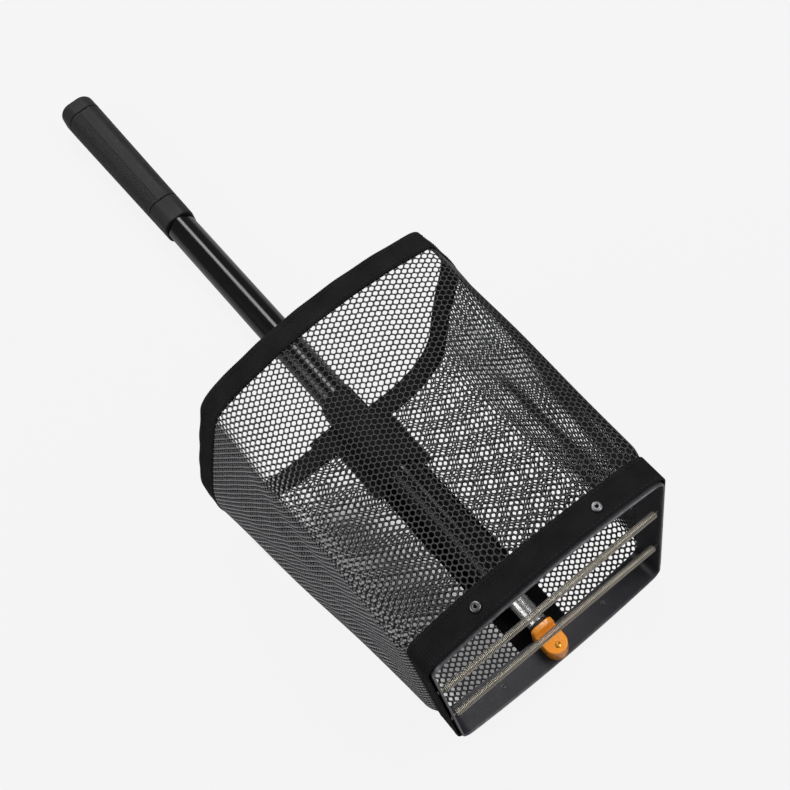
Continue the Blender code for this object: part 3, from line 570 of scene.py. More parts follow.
LOOKS = {
    "mesh": mesh_look(),
    "tape": cloth_look("hem_tape_yarn", (0.0020, 0.0020, 0.0023), (0.0075, 0.0075, 0.0080), 1900, 0.05, 0.10),
    # The webbing's yarn is the hem tape's, darker and without sheen: painted shade for where it lies inside
    # the bag
    "webbing": cloth_look("webbing_yarn_painted_shade", (0.0015, 0.0015, 0.0017), (0.005, 0.005, 0.0053), 1900, 0.0, 0.05),
    "thread": cloth_look("sewing_thread", (0.008, 0.008, 0.009), (0.022, 0.022, 0.023), 3200, 0.12),
    "paint": paint_look(),
    "spring": metal_look("nickel_wire", (0.50, 0.46, 0.40), (0.58, 0.54, 0.47), (0.36, 0.44)),
    "chrome": metal_look("chrome_plate", (0.74, 0.74, 0.73), (0.78, 0.78, 0.77), (0.24, 0.28)),
    "rivet": metal_look("blackened_steel", (0.07, 0.07, 0.073), (0.15, 0.15, 0.155), (0.28, 0.38), 60, 1e-5),
    "screw": metal_look("yellow_zinc_screw", (0.66, 0.30, 0.05), (0.74, 0.36, 0.08), (0.34, 0.42), 60, 1e-5),
    "gloss": gloss_look(),
    "rubber": rubber_look(),
    "orange": orange_look(),
    "nylon": moulded_look("natural_nylon", (0.50, 0.50, 0.47), (0.62, 0.62, 0.58), 0.42),
    # Painted shade: a dark finish on the screw's recess, for the shadow inside the cross
    "recess": moulded_look("screw_recess_painted_shade", (0.010, 0.008, 0.006), (0.022, 0.017, 0.012), 0.60),
    "spacer": moulded_look("spacer_rubber", (0.010, 0.010, 0.010), (0.022, 0.022, 0.022), 0.62),
    "stiffener": moulded_look("stiffener_plastic", (0.020, 0.020, 0.020), (0.035, 0.035, 0.035), 0.50),
}


def finish_as(item, look):
    item.data.materials.clear()
    item.data.materials.append(LOOKS[look])
    return item


# The mesh: a knitted net with open holes


NET_COLUMNS = 212
NET_PITCH = 0.00427
NET_START = RIM_Y + 0.0150
NET_END = HEM_LOW.y + 0.0100
HOLE_HALF_WIDTH = 0.00156
HOLE_HALF_LENGTH = 0.00163
HOLE_EXPONENT = 1.45
STRAND_HALF = 0.00052
TIGHTER_AT_MOUTH = 0.10
TIGHTER_SHARE = 1 / 1.6
NET_WOBBLE = 0.00022
HOLE_WOBBLE = 0.05

# The left wall's yarn: thicker, with tighter holes, and a stronger painted highlight on the strands one way,
# a little past them on the rims
LEFT_THICKER = 0.5
LEFT_TIGHTER = 0.12
RIM_LAG = 0.0012
LEFT_MIDDLE = 0.75
LEFT_REACH = 0.155
LEFT_FADE = 0.04

# A cell's rim in sixths of a column and quarters of a row, six corners and the six sides' middles
CELL_RIM = ((4, 0), (3, 1), (2, 2), (0, 2), (-2, 2), (-3, 1), (-4, 0), (-3, -1), (-2, -2), (0, -2), (2, -2),
            (3, -1))
COLUMN_PARTS = 6
ROW_PARTS = 4


def net_places(rim_x, rim_y):
    """Share of the way round, and place along the pole, for points counted in parts of a cell."""
    return rim_x / (COLUMN_PARTS * NET_COLUMNS), NET_START + rim_y * NET_PITCH / ROW_PARTS


def on_left_wall(share):
    """1 on the bag's left wall, falling to 0 at its corners."""
    return np.clip((LEFT_REACH - np.abs(np.mod(share, 1) - LEFT_MIDDLE)) / LEFT_FADE, 0, 1)


def painted_strand_light(share, y):
    """Painted highlight along the strands that climb one way across the left wall: 1 on them, and 0 on the
    holes between them.
    """
    wave = 0.5 - 0.5 * np.cos(2 * math.pi * ((y - NET_START) / NET_PITCH - share * NET_COLUMNS / 2))
    return wave ** 3


def make_net():
    """Knitted cells around and along the bag, each with its own open hole."""
    rows = int((NET_END - NET_START) / NET_PITCH)
    column, row = np.meshgrid(np.arange(NET_COLUMNS), np.arange(rows), indexing="ij")
    centre_x = (COLUMN_PARTS * column).ravel()
    centre_y = (ROW_PARTS * row + 2 * (column % 2)).ravel()
    rim = np.array(CELL_RIM)
    sides = len(CELL_RIM)
    rim_x = centre_x[:, None] + rim[None, :, 0]
    rim_y = centre_y[:, None] + rim[None, :, 1]
    around = COLUMN_PARTS * NET_COLUMNS
    lowest = rim_y.min()
    keys = np.mod(rim_x, around) + (rim_y - lowest) * around
    unique, index = np.unique(keys.ravel(), return_inverse=True)
    index = index.reshape(keys.shape)
    share, y = net_places(unique % around, unique // around + lowest)
    shift = NET_WOBBLE * np.sin(unique * 12.9898) * np.cos(unique * 4.1414)
    left = on_left_wall(share)
    half = STRAND_HALF * (1 + LEFT_THICKER * left)
    front = wall(share, y + shift, half)
    back = wall(share, y + shift, -half)
    # The hole's edge: the rim drawn in, rounder than the cell
    column_width = (MOUTH.length + HOOP.length) / 2 / NET_COLUMNS
    across = np.abs(rim[:, 0]) * column_width / COLUMN_PARTS / HOLE_HALF_WIDTH
    along = np.abs(rim[:, 1]) * NET_PITCH / ROW_PARTS / HOLE_HALF_LENGTH
    size = (across ** HOLE_EXPONENT + along ** HOLE_EXPONENT) ** (-1 / HOLE_EXPONENT)
    rise = centre_y * NET_PITCH / ROW_PARTS / (NET_END - NET_START)
    loose = 1 + HOLE_WOBBLE * np.sin(np.arange(len(centre_x)) * 7.13)
    loose -= TIGHTER_AT_MOUTH * np.clip(1 - rise / TIGHTER_SHARE, 0, 1)
    loose -= LEFT_TIGHTER * on_left_wall(centre_x / around)
    loose = loose[:, None]
    hole_x = centre_x[:, None] + rim[None, :, 0] * size * loose
    hole_y = centre_y[:, None] + rim[None, :, 1] * size * loose
    hole_share, hole_along = net_places(hole_x.ravel(), hole_y.ravel())
    holes = wall(hole_share, hole_along)
    hole_index = np.arange(holes.shape[0]).reshape(-1, sides)
    base = len(unique)
    points = np.concatenate([front, back, holes])
    after = np.roll(np.arange(sides), -1)
    a, b = index, index[:, after]
    c, d = hole_index[:, after] + 2 * base, hole_index + 2 * base
    upper = np.stack([a, b, c, d], -1).reshape(-1, 4)
    lower = np.stack([b + base, a + base, d, c], -1).reshape(-1, 4)
    edges = np.sort(np.stack([a, b], -1).reshape(-1, 2), axis=1)
    pairs, uses = np.unique(edges, axis=0, return_counts=True)
    open_edges = pairs[uses == 1]
    a, b = open_edges.T
    closing = np.stack([a, b, b + base, a + base], -1)
    faces = np.concatenate([upper, lower, closing]).tolist()
    uv = np.concatenate([np.stack([share, y], -1)] * 2 + [np.stack([hole_share, hole_along], -1)])
    net = new_piece("mesh_bag_net", points, faces, "mesh", replaces=["mesh_bag"], uv=uv)
    # Painted highlight along each strand's crown and painted shade at the holes' edges, brightest on the left
    # wall's strands one way
    painted_crown_light = net.data.attributes.new("painted_crown_light", "FLOAT", "POINT")
    on_strands = 1 + left * (LEFT_PAINTED_LIGHT * painted_strand_light(share, y) - 1)
    on_rims = LEFT_PAINTED_LIGHT * on_left_wall(hole_share) * painted_strand_light(hole_share, hole_along + RIM_LAG)
    painted_crown_light.data.foreach_set("value", np.concatenate([on_strands, on_strands, on_rims]))


# Tapes and their stitches


RIB_PITCH = 0.0015
RIB_DEPTH = 0.00032
HEM_RIB_DEPTH = 0.00020
HEM_RIPPLE = 0.00025
HEM_RIPPLES = 23
STIFFENER_ROUNDING = 0.0002
LOWER_TAPE_ROUNDING = 0.0004
POINTS_PER_RIB = 4


def ribbed(share, length, depth=RIB_DEPTH):
    """Height of a tape's ribs at shares of the way round."""
    return depth * np.cos(2 * math.pi * round(length / RIB_PITCH) * share)


def ribs_along(y):
    """Height of the ribs that lie across a band, from its first one."""
    return RIB_DEPTH * np.cos(2 * math.pi * (y - y.min()) / RIB_PITCH)


def rib_steps(length):
    """Points that show each rib of a tape."""
    return round(length / RIB_PITCH) * POINTS_PER_RIB


def on_mouth(share, outwards, y):
    """Points on the strip's outline, moved outwards."""
    share, outwards, y = np.broadcast_arrays(share, outwards, y)
    x, z, *_ = MOUTH.at(share, outwards)
    return np.stack([x, y, z], -1)


def on_hoop(share, outwards, y):
    """Points on the askew hoop, moved outwards."""
    points = np.broadcast_arrays(share, outwards, y)
    x, z, *_ = HOOP.at(*points[:2])
    return np.stack([x, points[2] + hoop_shift(x, z), z], -1)


def on_lower_tape(share, outwards, y):
    """Points on the lower tape, ribbed on its outer face."""
    rib = np.where(outwards > MOUTH_LAYERS / 2 + 0.0004, ribbed(share, MOUTH.length), 0)
    return on_mouth(share, outwards + rib, y)


def on_hem(share, outwards, y):
    """Points on the upper hem, ribbed on both faces and rippled where it doesn't lie on the floor."""
    rib = ribbed(share, HOOP.length, HEM_RIB_DEPTH) * np.sign(outwards)
    ripple = HEM_RIPPLE * np.sin(2 * math.pi * HEM_RIPPLES * share + 60 * y)
    free = np.clip(1 + HOOP.at(share)[3] * 1.2, 0, 1)
    return on_hoop(share, outwards + rib + ripple * free, y)


def make_top_hem():
    """Tape folded over the mesh's edge and the stiffener, its fold round and its lower edges turned in."""
    foot = HEM_LOW.y
    outer = HEM_HALF - RIB_DEPTH
    inner = outer - UPPER_TAPE_THICKNESS
    fold_y = HEM_HIGH.y - outer
    sides = np.linspace(foot + 0.003, fold_y, 4)
    over, under = ([(r * math.cos(a), fold_y + r * math.sin(a)) for a in np.linspace(0, math.pi, n)[1:-1]]
                   for r, n in ((outer, 9), (inner, 7)))
    section = [(outer - 0.0002, foot), (outer, foot + 0.0004), *((outer, y) for y in sides), *over]
    section += [*((-outer, y) for y in sides[::-1]), (-outer, foot + 0.0004), (-outer + 0.0002, foot)]
    section += [(-inner, foot + 0.0001), (-inner, fold_y), *under[::-1], (inner, fold_y),
                (inner, foot + 0.0001)]
    hem = carry("top_hem_tape", section, on_hem, rib_steps(HOOP.length), look="tape", replaces=["top_hem"])


def make_stiffener():
    """Plastic strip inside the hem, bent as the hem is."""
    half = STIFFENER_THICKNESS / 2
    section = rectangle((-half, half), (HOOP_LOW.y, HOOP_HIGH.y), STIFFENER_ROUNDING)
    carry("hoop_stiffener_strip", section, on_hoop, 480, look="stiffener", replaces=["hoop_stiffener"])


def make_bottom_hem():
    """Ribbed tape around the strip, over the mesh's lower edge."""
    low, high = LOWER_HEM_LOW.y, LOWER_HEM_HIGH.y
    across = (MOUTH_LAYERS - LOWER_TAPE_THICKNESS, MOUTH_LAYERS - RIB_DEPTH)
    section = rectangle(across, (low, high), LOWER_TAPE_ROUNDING)
    hem = carry("bottom_hem_tape", section, on_lower_tape, rib_steps(MOUTH.length), look="tape",
                replaces=["bottom_hem"])


STITCH_PITCH = 0.0032
STITCH_LENGTH = 0.0024
STITCH_RADIUS = 0.00022
STITCH_SIDES = 6
THREAD_SINK = 0.00005

# Places along a stitch, from its middle to its ends, and its thickness there
STITCH_RINGS = ((-1.0, 0.2), (-0.7, 0.85), (0.0, 1.0), (0.7, 0.85), (1.0, 0.2))

# The seams of the upper hem and of the lower tape: side and place along the pole, from the hem's foot upwards
# and from the tape's upper edge
HEM_SEAMS = (("top_hem_outer_stitches", 1, 0.0022), ("top_hem_inner_stitches", -1, 0.0022),
             ("top_hem_fold_stitches", 1, 0.0130))
TAPE_SEAMS = (("bottom_hem_upper_stitches", -0.0020), ("bottom_hem_lower_stitches", -0.0165))


def make_stitches(name, place, outwards, y, length):
    """Short raised threads along a seam: place(share, outwards, y) gives its points."""
    count = round(length / STITCH_PITCH)
    middles = (np.arange(count) + 0.5) / count
    half = STITCH_LENGTH / length / 2
    start, end = place(middles - half, outwards, y), place(middles + half, outwards, y)
    direction = end - start
    direction /= np.linalg.norm(direction, axis=1)[:, None]
    side = np.cross(direction, (0.0, 1.0, 0.0))
    side /= np.linalg.norm(side, axis=1)[:, None]
    other = np.cross(direction, side)
    along, size = np.array(STITCH_RINGS).T
    angles = turned(STITCH_SIDES)[:, None]
    centres = ((start + end) / 2)[:, None] + ((end - start) / 2)[:, None] * along[:, None]
    spokes = side[:, None] * np.cos(angles) + other[:, None] * np.sin(angles)
    points = centres[:, :, None] + (STITCH_RADIUS * size)[:, None, None] * spokes[:, None]
    thread = grid_faces(len(STITCH_RINGS), STITCH_SIDES, close_columns=True)
    thread += end_faces(len(STITCH_RINGS), STITCH_SIDES)
    step = len(STITCH_RINGS) * STITCH_SIDES
    faces = [[first + i for i in face] for first in range(0, count * step, step) for face in thread]
    new_piece(name, points.reshape(-1, 3), faces, "thread")


def make_hem_stitches():
    """The seams of the upper hem and of the lower tape."""
    for name, side, up in HEM_SEAMS:
        make_stitches(name, on_hem, side * (HEM_HALF - THREAD_SINK), HEM_LOW.y + up, HOOP.length)
    for name, up in TAPE_SEAMS:
        make_stitches(name, on_lower_tape, MOUTH_LAYERS - THREAD_SINK, LOWER_HEM_HIGH.y + up, MOUTH.length)


SEAM_LOW, SEAM_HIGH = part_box("back_seam_tape")
SEAM_WIDTH = SEAM_HIGH.x - SEAM_LOW.x
SEAM_THICKNESS = 0.0006


def back_share(x, y):
    """Shares of the way round at which the back panel lies at X."""
    step = 0.02
    left = wall(0.5 + step, y)[..., 0]
    right = wall(0.5 - step, y)[..., 0]
    return 0.5 + step - 2 * step * (x - left) / (right - left)


def make_seam_tape():
    """Webbing along the back panel, under the pole, on both faces of the mesh."""
    length = SEAM_HIGH.y - SEAM_LOW.y
    y = np.linspace(SEAM_LOW.y, SEAM_HIGH.y, rib_steps(length))[:, None]
    share = back_share(np.linspace(-0.5, 0.5, 21)[None, :] * SEAM_WIDTH, y)
    below = MESH_THICKNESS / 2 + GAP
    sides = (("back_seam_tape_outside", below, below + SEAM_THICKNESS, ["back_seam_tape"]),
             ("back_seam_tape_inside", -below, -below - SEAM_THICKNESS + ribs_along(y), []))
    # Both strips take the darker webbing yarn, which is painted shade
    for name, near, far, replaces in sides:
        item = thick_sheet(name, wall(share, y, near), wall(share, y, far), look="webbing", replaces=replaces)


# The loop over the pole


LOOP_LOW, LOOP_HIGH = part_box("pole_loop")
LOOP_THICKNESS = 0.0014
LOOP_FOOT_REACH = LOOP_HIGH.x

# How far the band's feet reach to the left and to the right, from each of these places behind the rim
LOOP_FEET = ((0.1600, 0.0245, 0.0245), (0.2175, 0.0350, 0.0245), (0.2280, 0.0350, 0.0160),
             (0.2375, 0.0140, 0.0160), (0.2440, 0.0140, 0.0140))
FOOT_STEP = 0.0004
LOOP_KNEE = 0.0012


def foot_reach(y):
    """Reach of the left foot and of the right one, along the pole."""
    places = []
    reaches = []
    for i, (place, left, right) in enumerate(LOOP_FEET):
        if i:
            places.append(RIM_Y + place)
            reaches.append(LOOP_FEET[i - 1][1:])
        places.append(RIM_Y + place + FOOT_STEP)
        reaches.append((left, right))
    left, right = np.array(reaches).T
    return np.interp(y, places, left), np.interp(y, places, right)


def make_pole_loop():
    """Band over the pole with feet sewn to the hem, its edges rounded."""
    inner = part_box("outer_tube")[1].x + GAP
    middle = inner + LOOP_THICKNESS / 2
    knee = inner + LOOP_KNEE
    floor = 2 * HEM_HALF + GAP
    foot = [(LOOP_FOOT_REACH, floor + 0.0004), (LOOP_FOOT_REACH * 0.8, floor + 0.0001),
            (inner + 0.004, floor + 0.0002), (inner + 0.0010, floor + 0.0014)]
    over = [(middle * math.cos(a), POLE_Z + middle * math.sin(a)) for a in np.linspace(0, math.pi, 25)]
    line = np.array(foot + over + [(-x, z) for x, z in foot[::-1]])
    run = np.concatenate([[0], np.cumsum(np.hypot(*np.diff(line, axis=0).T))])
    wanted = np.linspace(0, run[-1], 91)
    line = np.stack([np.interp(wanted, run, line[:, 0]), np.interp(wanted, run, line[:, 1])], -1)
    tangent = np.gradient(line, axis=0)
    tangent /= np.linalg.norm(tangent, axis=1)[:, None]
    length = LOOP_HIGH.y - LOOP_LOW.y
    y = np.linspace(LOOP_LOW.y, LOOP_HIGH.y, rib_steps(length))
    left, right = foot_reach(y)
    sides = []
    for direction, rib in ((1, ribs_along(y)), (-1, 0 * y)):
        reach = direction * (LOOP_THICKNESS / 2 - RIB_DEPTH + rib)[:, None]
        x = line[:, 0] - reach * tangent[:, 1]
        z = np.maximum(line[:, 1] + reach * tangent[:, 0], floor - 0.0002)
        beyond = np.maximum(np.abs(x) - knee, 0) / (LOOP_FOOT_REACH - knee)
        wanted = np.where(x > 0, right[:, None], left[:, None])
        x = np.where(beyond > 0, np.sign(x) * (knee + beyond * (wanted - knee)), x)
        sides.append(np.stack([x, np.broadcast_to(y[:, None], x.shape), z], -1))
    item = thick_sheet("pole_loop_band", *sides, look="tape", replaces=["pole_loop"])


# Steel mouth


RIM_ROUNDING = 0.0004


def make_strip():
    """Flat strip with rounded edges."""
    section = rectangle((-STRIP_THICKNESS, 0), (STRIP_LOW.y, STRIP_HIGH.y), RIM_ROUNDING)
    carry("mouth_strip", section, on_mouth, 960, look="paint", replaces=["mouth_frame"])


RIVET_HEAD = 0.0034
RIVET_HEAD_RISE = 0.0011
RIVET_SHANK = 0.0014
RIVET_TAIL = 0.0016
RIVETS = ("front_left_rivet", "front_right_rivet", "back_left_rivet", "back_right_rivet")


def make_rivets():
    """Rolled heads outside the tape, hollow shanks, and flared tails inside the strip."""
    foot = MOUTH_LAYERS + 0.0001
    tail = -STRIP_THICKNESS - 0.0001
    arc = [(math.sin(a), math.cos(a)) for a in np.linspace(0, math.pi / 2, 6)]
    outer = RIVET_HEAD - RIVET_HEAD_RISE
    profile = [(outer + RIVET_HEAD_RISE * c, foot + RIVET_HEAD_RISE * s) for s, c in arc]
    profile += [(RIVET_SHANK - 0.0005 * s, foot + 0.0006 + 0.0005 * c) for s, c in arc]
    profile += [(RIVET_SHANK - 0.0005 + 0.0002 * s, tail - 0.0002 - 0.0002 * (1 - c)) for s, c in arc]
    profile += [(RIVET_TAIL - 0.0003 * (1 - s), tail - 0.0002 - 0.0002 * c) for s, c in arc]
    profile += [(RIVET_TAIL, tail), (RIVET_SHANK, tail), (RIVET_SHANK, foot), (RIVET_HEAD, foot)]
    for name in RIVETS:
        low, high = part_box(name)
        centre = (low + high) / 2
        out = 1 if name.startswith("front") else -1
        face = out * math.sqrt(ARCH_RADIUS ** 2 - centre.x ** 2) - out * (ARCH_RADIUS - MOUTH_HEIGHT / 2)
        lean = math.asin(centre.x / ARCH_RADIUS)
        item = lathe(name + "_turned", profile, 40, (0, 0, 0), "Z", look="rivet", replaces=[name])
        turn = Matrix.Rotation(lean if out > 0 else math.pi - lean, 4, "Y")
        item.data.transform(Matrix.Translation((centre.x, centre.y, MOUTH_CENTRE_Z + face)) @ turn)


# Springs


COIL_RADIUS = 0.00198
WIRE_RADIUS = 0.00037
COIL_PITCH = 0.00098
POINTS_PER_TURN = 16
COIL_END_ROOM = 0.0018
HOOK_BEND = 0.0010
HOOK_TIP = 0.0052
SPRING_Y = (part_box("front_spring")[0].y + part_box("front_spring")[1].y) / 2


def coil_path(middle_z, half):
    """Close coil, drawn in at both ends."""
    turns = round(2 * half / COIL_PITCH)
    steps = turns * POINTS_PER_TURN
    count = np.arange(steps + 1)
    share = count / steps
    angle = 2 * math.pi * turns * share
    draw = np.clip(np.minimum(count, steps - count) / (POINTS_PER_TURN * 1.5), 0, 1)
    radius = COIL_RADIUS * (0.12 + 0.88 * np.sin(draw * math.pi / 2))
    x = -half + 2 * half * share
    return np.stack([x, SPRING_Y + radius * np.sin(angle), middle_z + radius * np.cos(angle)], -1)


def make_springs():
    """Coils across the mouth, their hooks through the short sides and bent flat outside."""
    half = MOUTH_WIDTH / 2 - STRIP_THICKNESS - COIL_END_ROOM
    outside = MOUTH_WIDTH / 2 + WIRE_RADIUS + 0.0002
    hook = [(outside, HOOK_TIP), (outside, HOOK_TIP * 0.6), (outside, HOOK_BEND * 1.4)]
    for angle in np.linspace(0.15, math.pi / 2, 6):
        hook.append((outside - HOOK_BEND * (1 - math.cos(angle)), HOOK_BEND * (1 - math.sin(angle))))
    hook += [(outside - HOOK_BEND - 0.0008, 0), (half + 0.0013, 0), (half + 0.0006, 0)]
    for name, side in (("front_spring", 1), ("rear_spring", -1)):
        low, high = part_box(name)
        middle_z = (low.z + high.z) / 2
        left = [(-x, SPRING_Y, middle_z + side * z) for x, z in hook]
        right = [(x, SPRING_Y, middle_z + side * z) for x, z in hook[::-1]]
        path = np.concatenate([np.array(left), coil_path(middle_z, half), np.array(right)])
        wire(name + "_coil", path, WIRE_RADIUS, 8, look="spring", replaces=[name])


# Pole and its foot


TUBE_SIDES = 96
TUBE_ROUNDING = 0.0003

# Name, thickness of the wall, finish and body of each tube
TUBES = (("inner_tube", 0.0009, "chrome", "bag"), ("middle_tube", 0.0008, "chrome", "middle_section"),
         ("outer_tube", 0.0008, "gloss", "handle"))


def make_pole():
    """The pole's three tubes, with softly rounded ends."""
    for name, wall_thickness, look, body in TUBES:
        low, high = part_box(name)
        radius = (high.x - low.x) / 2
        profile = rectangle((radius, radius - wall_thickness), (high.y, low.y), TUBE_ROUNDING)
        lathe(name + "_turned", profile, TUBE_SIDES, (0, 0, POLE_Z), "Y", look=look, body=body,
              replaces=[name])


FITTING_LOW, FITTING_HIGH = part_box("end_fitting")
FITTING_RADIUS = (FITTING_HIGH.x - FITTING_LOW.x) / 2
SHOULDER_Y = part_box("foot_spacer")[0].y - GAP
TONGUE_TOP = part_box("fitting_screw")[1].z - 0.0004
COLLAR_LENGTH = 0.0048
COLLAR_SLOPE = 0.0012
COLLAR_ROUNDING = 0.0040
FITTING_EDGE = 0.0010
FITTING_FOOT_EDGE = 0.0004
TONGUE_START = RIM_Y + 0.0002
TONGUE_HALF = FITTING_RADIUS - 0.0003


def fitting_ring(half_width, foot, top, y, edge):
    """A cross-section of the moulding: flat foot and top, upright sides, round upper corners."""
    edge = min(edge, half_width * 0.9)
    arc = np.linspace(0, math.pi / 2, 7)
    right = [(half_width - FITTING_FOOT_EDGE, foot), (half_width, foot + FITTING_FOOT_EDGE)]
    right += [(half_width - edge * (1 - math.cos(a)), top - edge * (1 - math.sin(a))) for a in arc]
    ring = right + [(-x, z) for x, z in right[::-1]]
    return [(x, y, z) for x, z in ring]


def make_fitting():
    """Moulded end: a tongue on the strip with a round end, and a raised collar where the tube begins."""
    foot, top = FITTING_LOW.z, FITTING_HIGH.z
    stations = []
    for angle in np.linspace(0.12, math.pi / 2, 16):
        stations.append((TONGUE_START + TONGUE_HALF * (1 - math.cos(angle)), TONGUE_HALF * math.sin(angle)))
    # The end's rim is rounded: the first rings rise from the foot to the top
    y, half = stations[0]
    rows = [fitting_ring(half * 0.9, foot, foot + (TONGUE_TOP - foot) * lift, y + inset, FITTING_EDGE * 0.5)
            for lift, inset in ((0.25, 0.0), (0.6, 0.0), (0.9, 0.0003))]
    rows += [fitting_ring(half, foot, TONGUE_TOP, y, FITTING_EDGE) for y, half in stations]
    for share in np.linspace(0, 1, 7):
        rise = (1 - math.cos(math.pi * share)) / 2
        half, height, edge = (low + (high - low) * rise for low, high in (
            (TONGUE_HALF, FITTING_RADIUS), (TONGUE_TOP, top), (FITTING_EDGE, COLLAR_ROUNDING)))
        rows.append(fitting_ring(half, foot, height, SHOULDER_Y - COLLAR_LENGTH + COLLAR_SLOPE * share, edge))
    for inset, back in ((0.0, 0.0006), (0.0002, 0.0002), (0.0006, 0.0)):
        rows.append(fitting_ring(FITTING_RADIUS - inset, foot + inset, top - inset, SHOULDER_Y - back,
                                 COLLAR_ROUNDING))
    moulding("end_fitting_moulding", np.array(rows), look="orange", replaces=["end_fitting"], angle=50)


RECESS_SIZE = (0.0030, 0.0007, 0.0016)
SCREW_SHANK_SHARE = 0.6
SCREW_HEAD_HEIGHT = 0.0016
SCREW_DOME = 0.0009


def make_screw():
    """Generic cross-recess screw on the fitting's face."""
    low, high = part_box("fitting_screw")
    centre = (low + high) / 2
    radius = (high.x - low.x) / 2
    shank = radius * SCREW_SHANK_SHARE
    top = high.z + 0.0001
    under = top - SCREW_HEAD_HEIGHT
    profile = [(0, low.z), (shank, low.z), (shank, under), (radius, under)]
    for a in np.linspace(0, math.pi / 2, 7):
        profile.append((radius * math.cos(a), top - SCREW_DOME + SCREW_DOME * math.sin(a)))
    item = lathe("fitting_screw_turned", profile, 40, (centre.x, centre.y, 0), "Z", look="screw",
                 replaces=["fitting_screw"])
    cutter = bpy.data.objects.new("recess", bpy.data.meshes.new("recess"))
    bpy.context.scene.collection.objects.link(cutter)
    for size in (RECESS_SIZE, (RECESS_SIZE[1], RECESS_SIZE[0], RECESS_SIZE[2])):
        bm = bmesh.new()
        place = Matrix.Translation((centre.x, centre.y, top)) @ Matrix.Diagonal((*size, 1))
        bmesh.ops.create_cube(bm, size=1, matrix=place)
        bm.to_mesh(cutter.data)
        bm.free()
        cut = item.modifiers.new("recess", "BOOLEAN")
        cut.operation = "DIFFERENCE"
        cut.solver = "EXACT"
        cut.object = cutter
        bpy.context.view_layer.update()
        item.data = bpy.data.meshes.new_from_object(item.evaluated_get(bpy.context.evaluated_depsgraph_get()))
        item.modifiers.clear()
    bpy.data.objects.remove(cutter, do_unlink=True)
    item.data.shade_smooth()
    item.data.set_sharp_from_angle(angle=math.radians(35))
    # The recess's walls and floor take the dark finish: painted shade inside the cross
    item.data.materials.append(LOOKS["recess"])
    for face in item.data.polygons:
        near = math.hypot(face.center.x - centre.x, face.center.y - centre.y) < RECESS_SIZE[0] / 2 + 0.0002
        inside = abs(face.normal.z) < 0.3 or face.center.z < top - 0.0005
        if near and inside and face.center.z > top - 0.0010:
            face.material_index = 1


# Grip


KNURL_PITCH = 0.0030
KNURL_DEPTH = 0.00050
GRIP_CORNER_RADIUS = 0.011
GRIP_NARROWING = 0.0019
GRIP_STEPS = 200
SLEEVE_STEPS = 440
SLEEVE_ROWS = 520
SLEEVE_ROUNDING = 0.0008
FERRULE_ROUNDING = 0.0012
GROOVE_ROUNDING = 0.0007
CAP_ROUNDING = 0.0026
SOCKET_DEPTH = 0.0043

GRIP_HALF = (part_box("grip_sleeve")[1].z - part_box("grip_sleeve")[0].z) / 2
GRIP_FLAT = GRIP_HALF - GRIP_CORNER_RADIUS
GRIP_ARC = math.pi / 2 * GRIP_CORNER_RADIUS
GRIP_SIDE = 2 * GRIP_FLAT + GRIP_ARC
GRIP_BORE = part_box("outer_tube")[1].x + 0.0001
GRIP_NARROW_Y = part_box("grip_ferrule")[0].y
GRIP_WIDE_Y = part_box("grip_end_cap")[0].y


def grip_outline(share, inwards, y):
    """Points on a rounded square about the pole's axis, by shares of the way round, narrower at the bag."""
    run = np.mod(share, 1) * 4 * GRIP_SIDE
    corner = np.floor(run / GRIP_SIDE)
    along = run - corner * GRIP_SIDE
    # Each stretch runs from the middle of one flat, round a corner, to the middle of the next
    on_first = along < GRIP_FLAT
    on_arc = (along >= GRIP_FLAT) & (along < GRIP_FLAT + GRIP_ARC)
    after = GRIP_FLAT - (along - GRIP_FLAT - GRIP_ARC)
    turn = np.where(on_arc, (along - GRIP_FLAT) / GRIP_CORNER_RADIUS, np.where(on_first, 0, math.pi / 2))
    x = np.where(on_first, along, np.where(on_arc, GRIP_FLAT + GRIP_CORNER_RADIUS * np.sin(turn), GRIP_HALF))
    z = np.where(on_first, GRIP_HALF, np.where(on_arc, GRIP_FLAT + GRIP_CORNER_RADIUS * np.cos(turn), after))
    narrower = GRIP_NARROWING * np.clip((GRIP_WIDE_Y - y) / (GRIP_WIDE_Y - GRIP_NARROW_Y), 0, 1)
    x = x - (inwards + narrower) * np.sin(turn)
    z = z - (inwards + narrower) * np.cos(turn)
    angle = corner * math.pi / 2
    around = x * np.cos(angle) + z * np.sin(angle)
    return np.stack([around, np.broadcast_to(y, x.shape), POLE_Z - x * np.sin(angle) + z * np.cos(angle)], -1)


def knurl(share, y, low_y, high_y):
    """Height of shallow diamonds, and their share: 1 on every second panel, 0 at its ends and ridges."""
    a = np.mod(share, 1) * np.round(4 * GRIP_SIDE / KNURL_PITCH)
    b = (y - low_y) / KNURL_PITCH
    height = np.minimum(*(np.abs(np.mod(line, 1) - 0.5) * 2 for line in (a + b, a - b)))
    end = np.clip(np.minimum(y - low_y, high_y - y) / 0.002, 0, 1)
    ridge = np.abs(np.mod(share * 4 + 0.5, 1) - 0.5) * 2
    fade = np.clip((0.87 - (1 - ridge)) / 0.05, 0, 1)
    knurled = np.floor(np.mod(share, 1) * 4) % 2
    return KNURL_DEPTH * np.clip(1.6 * height - 0.25, 0, 1), end * fade * knurled


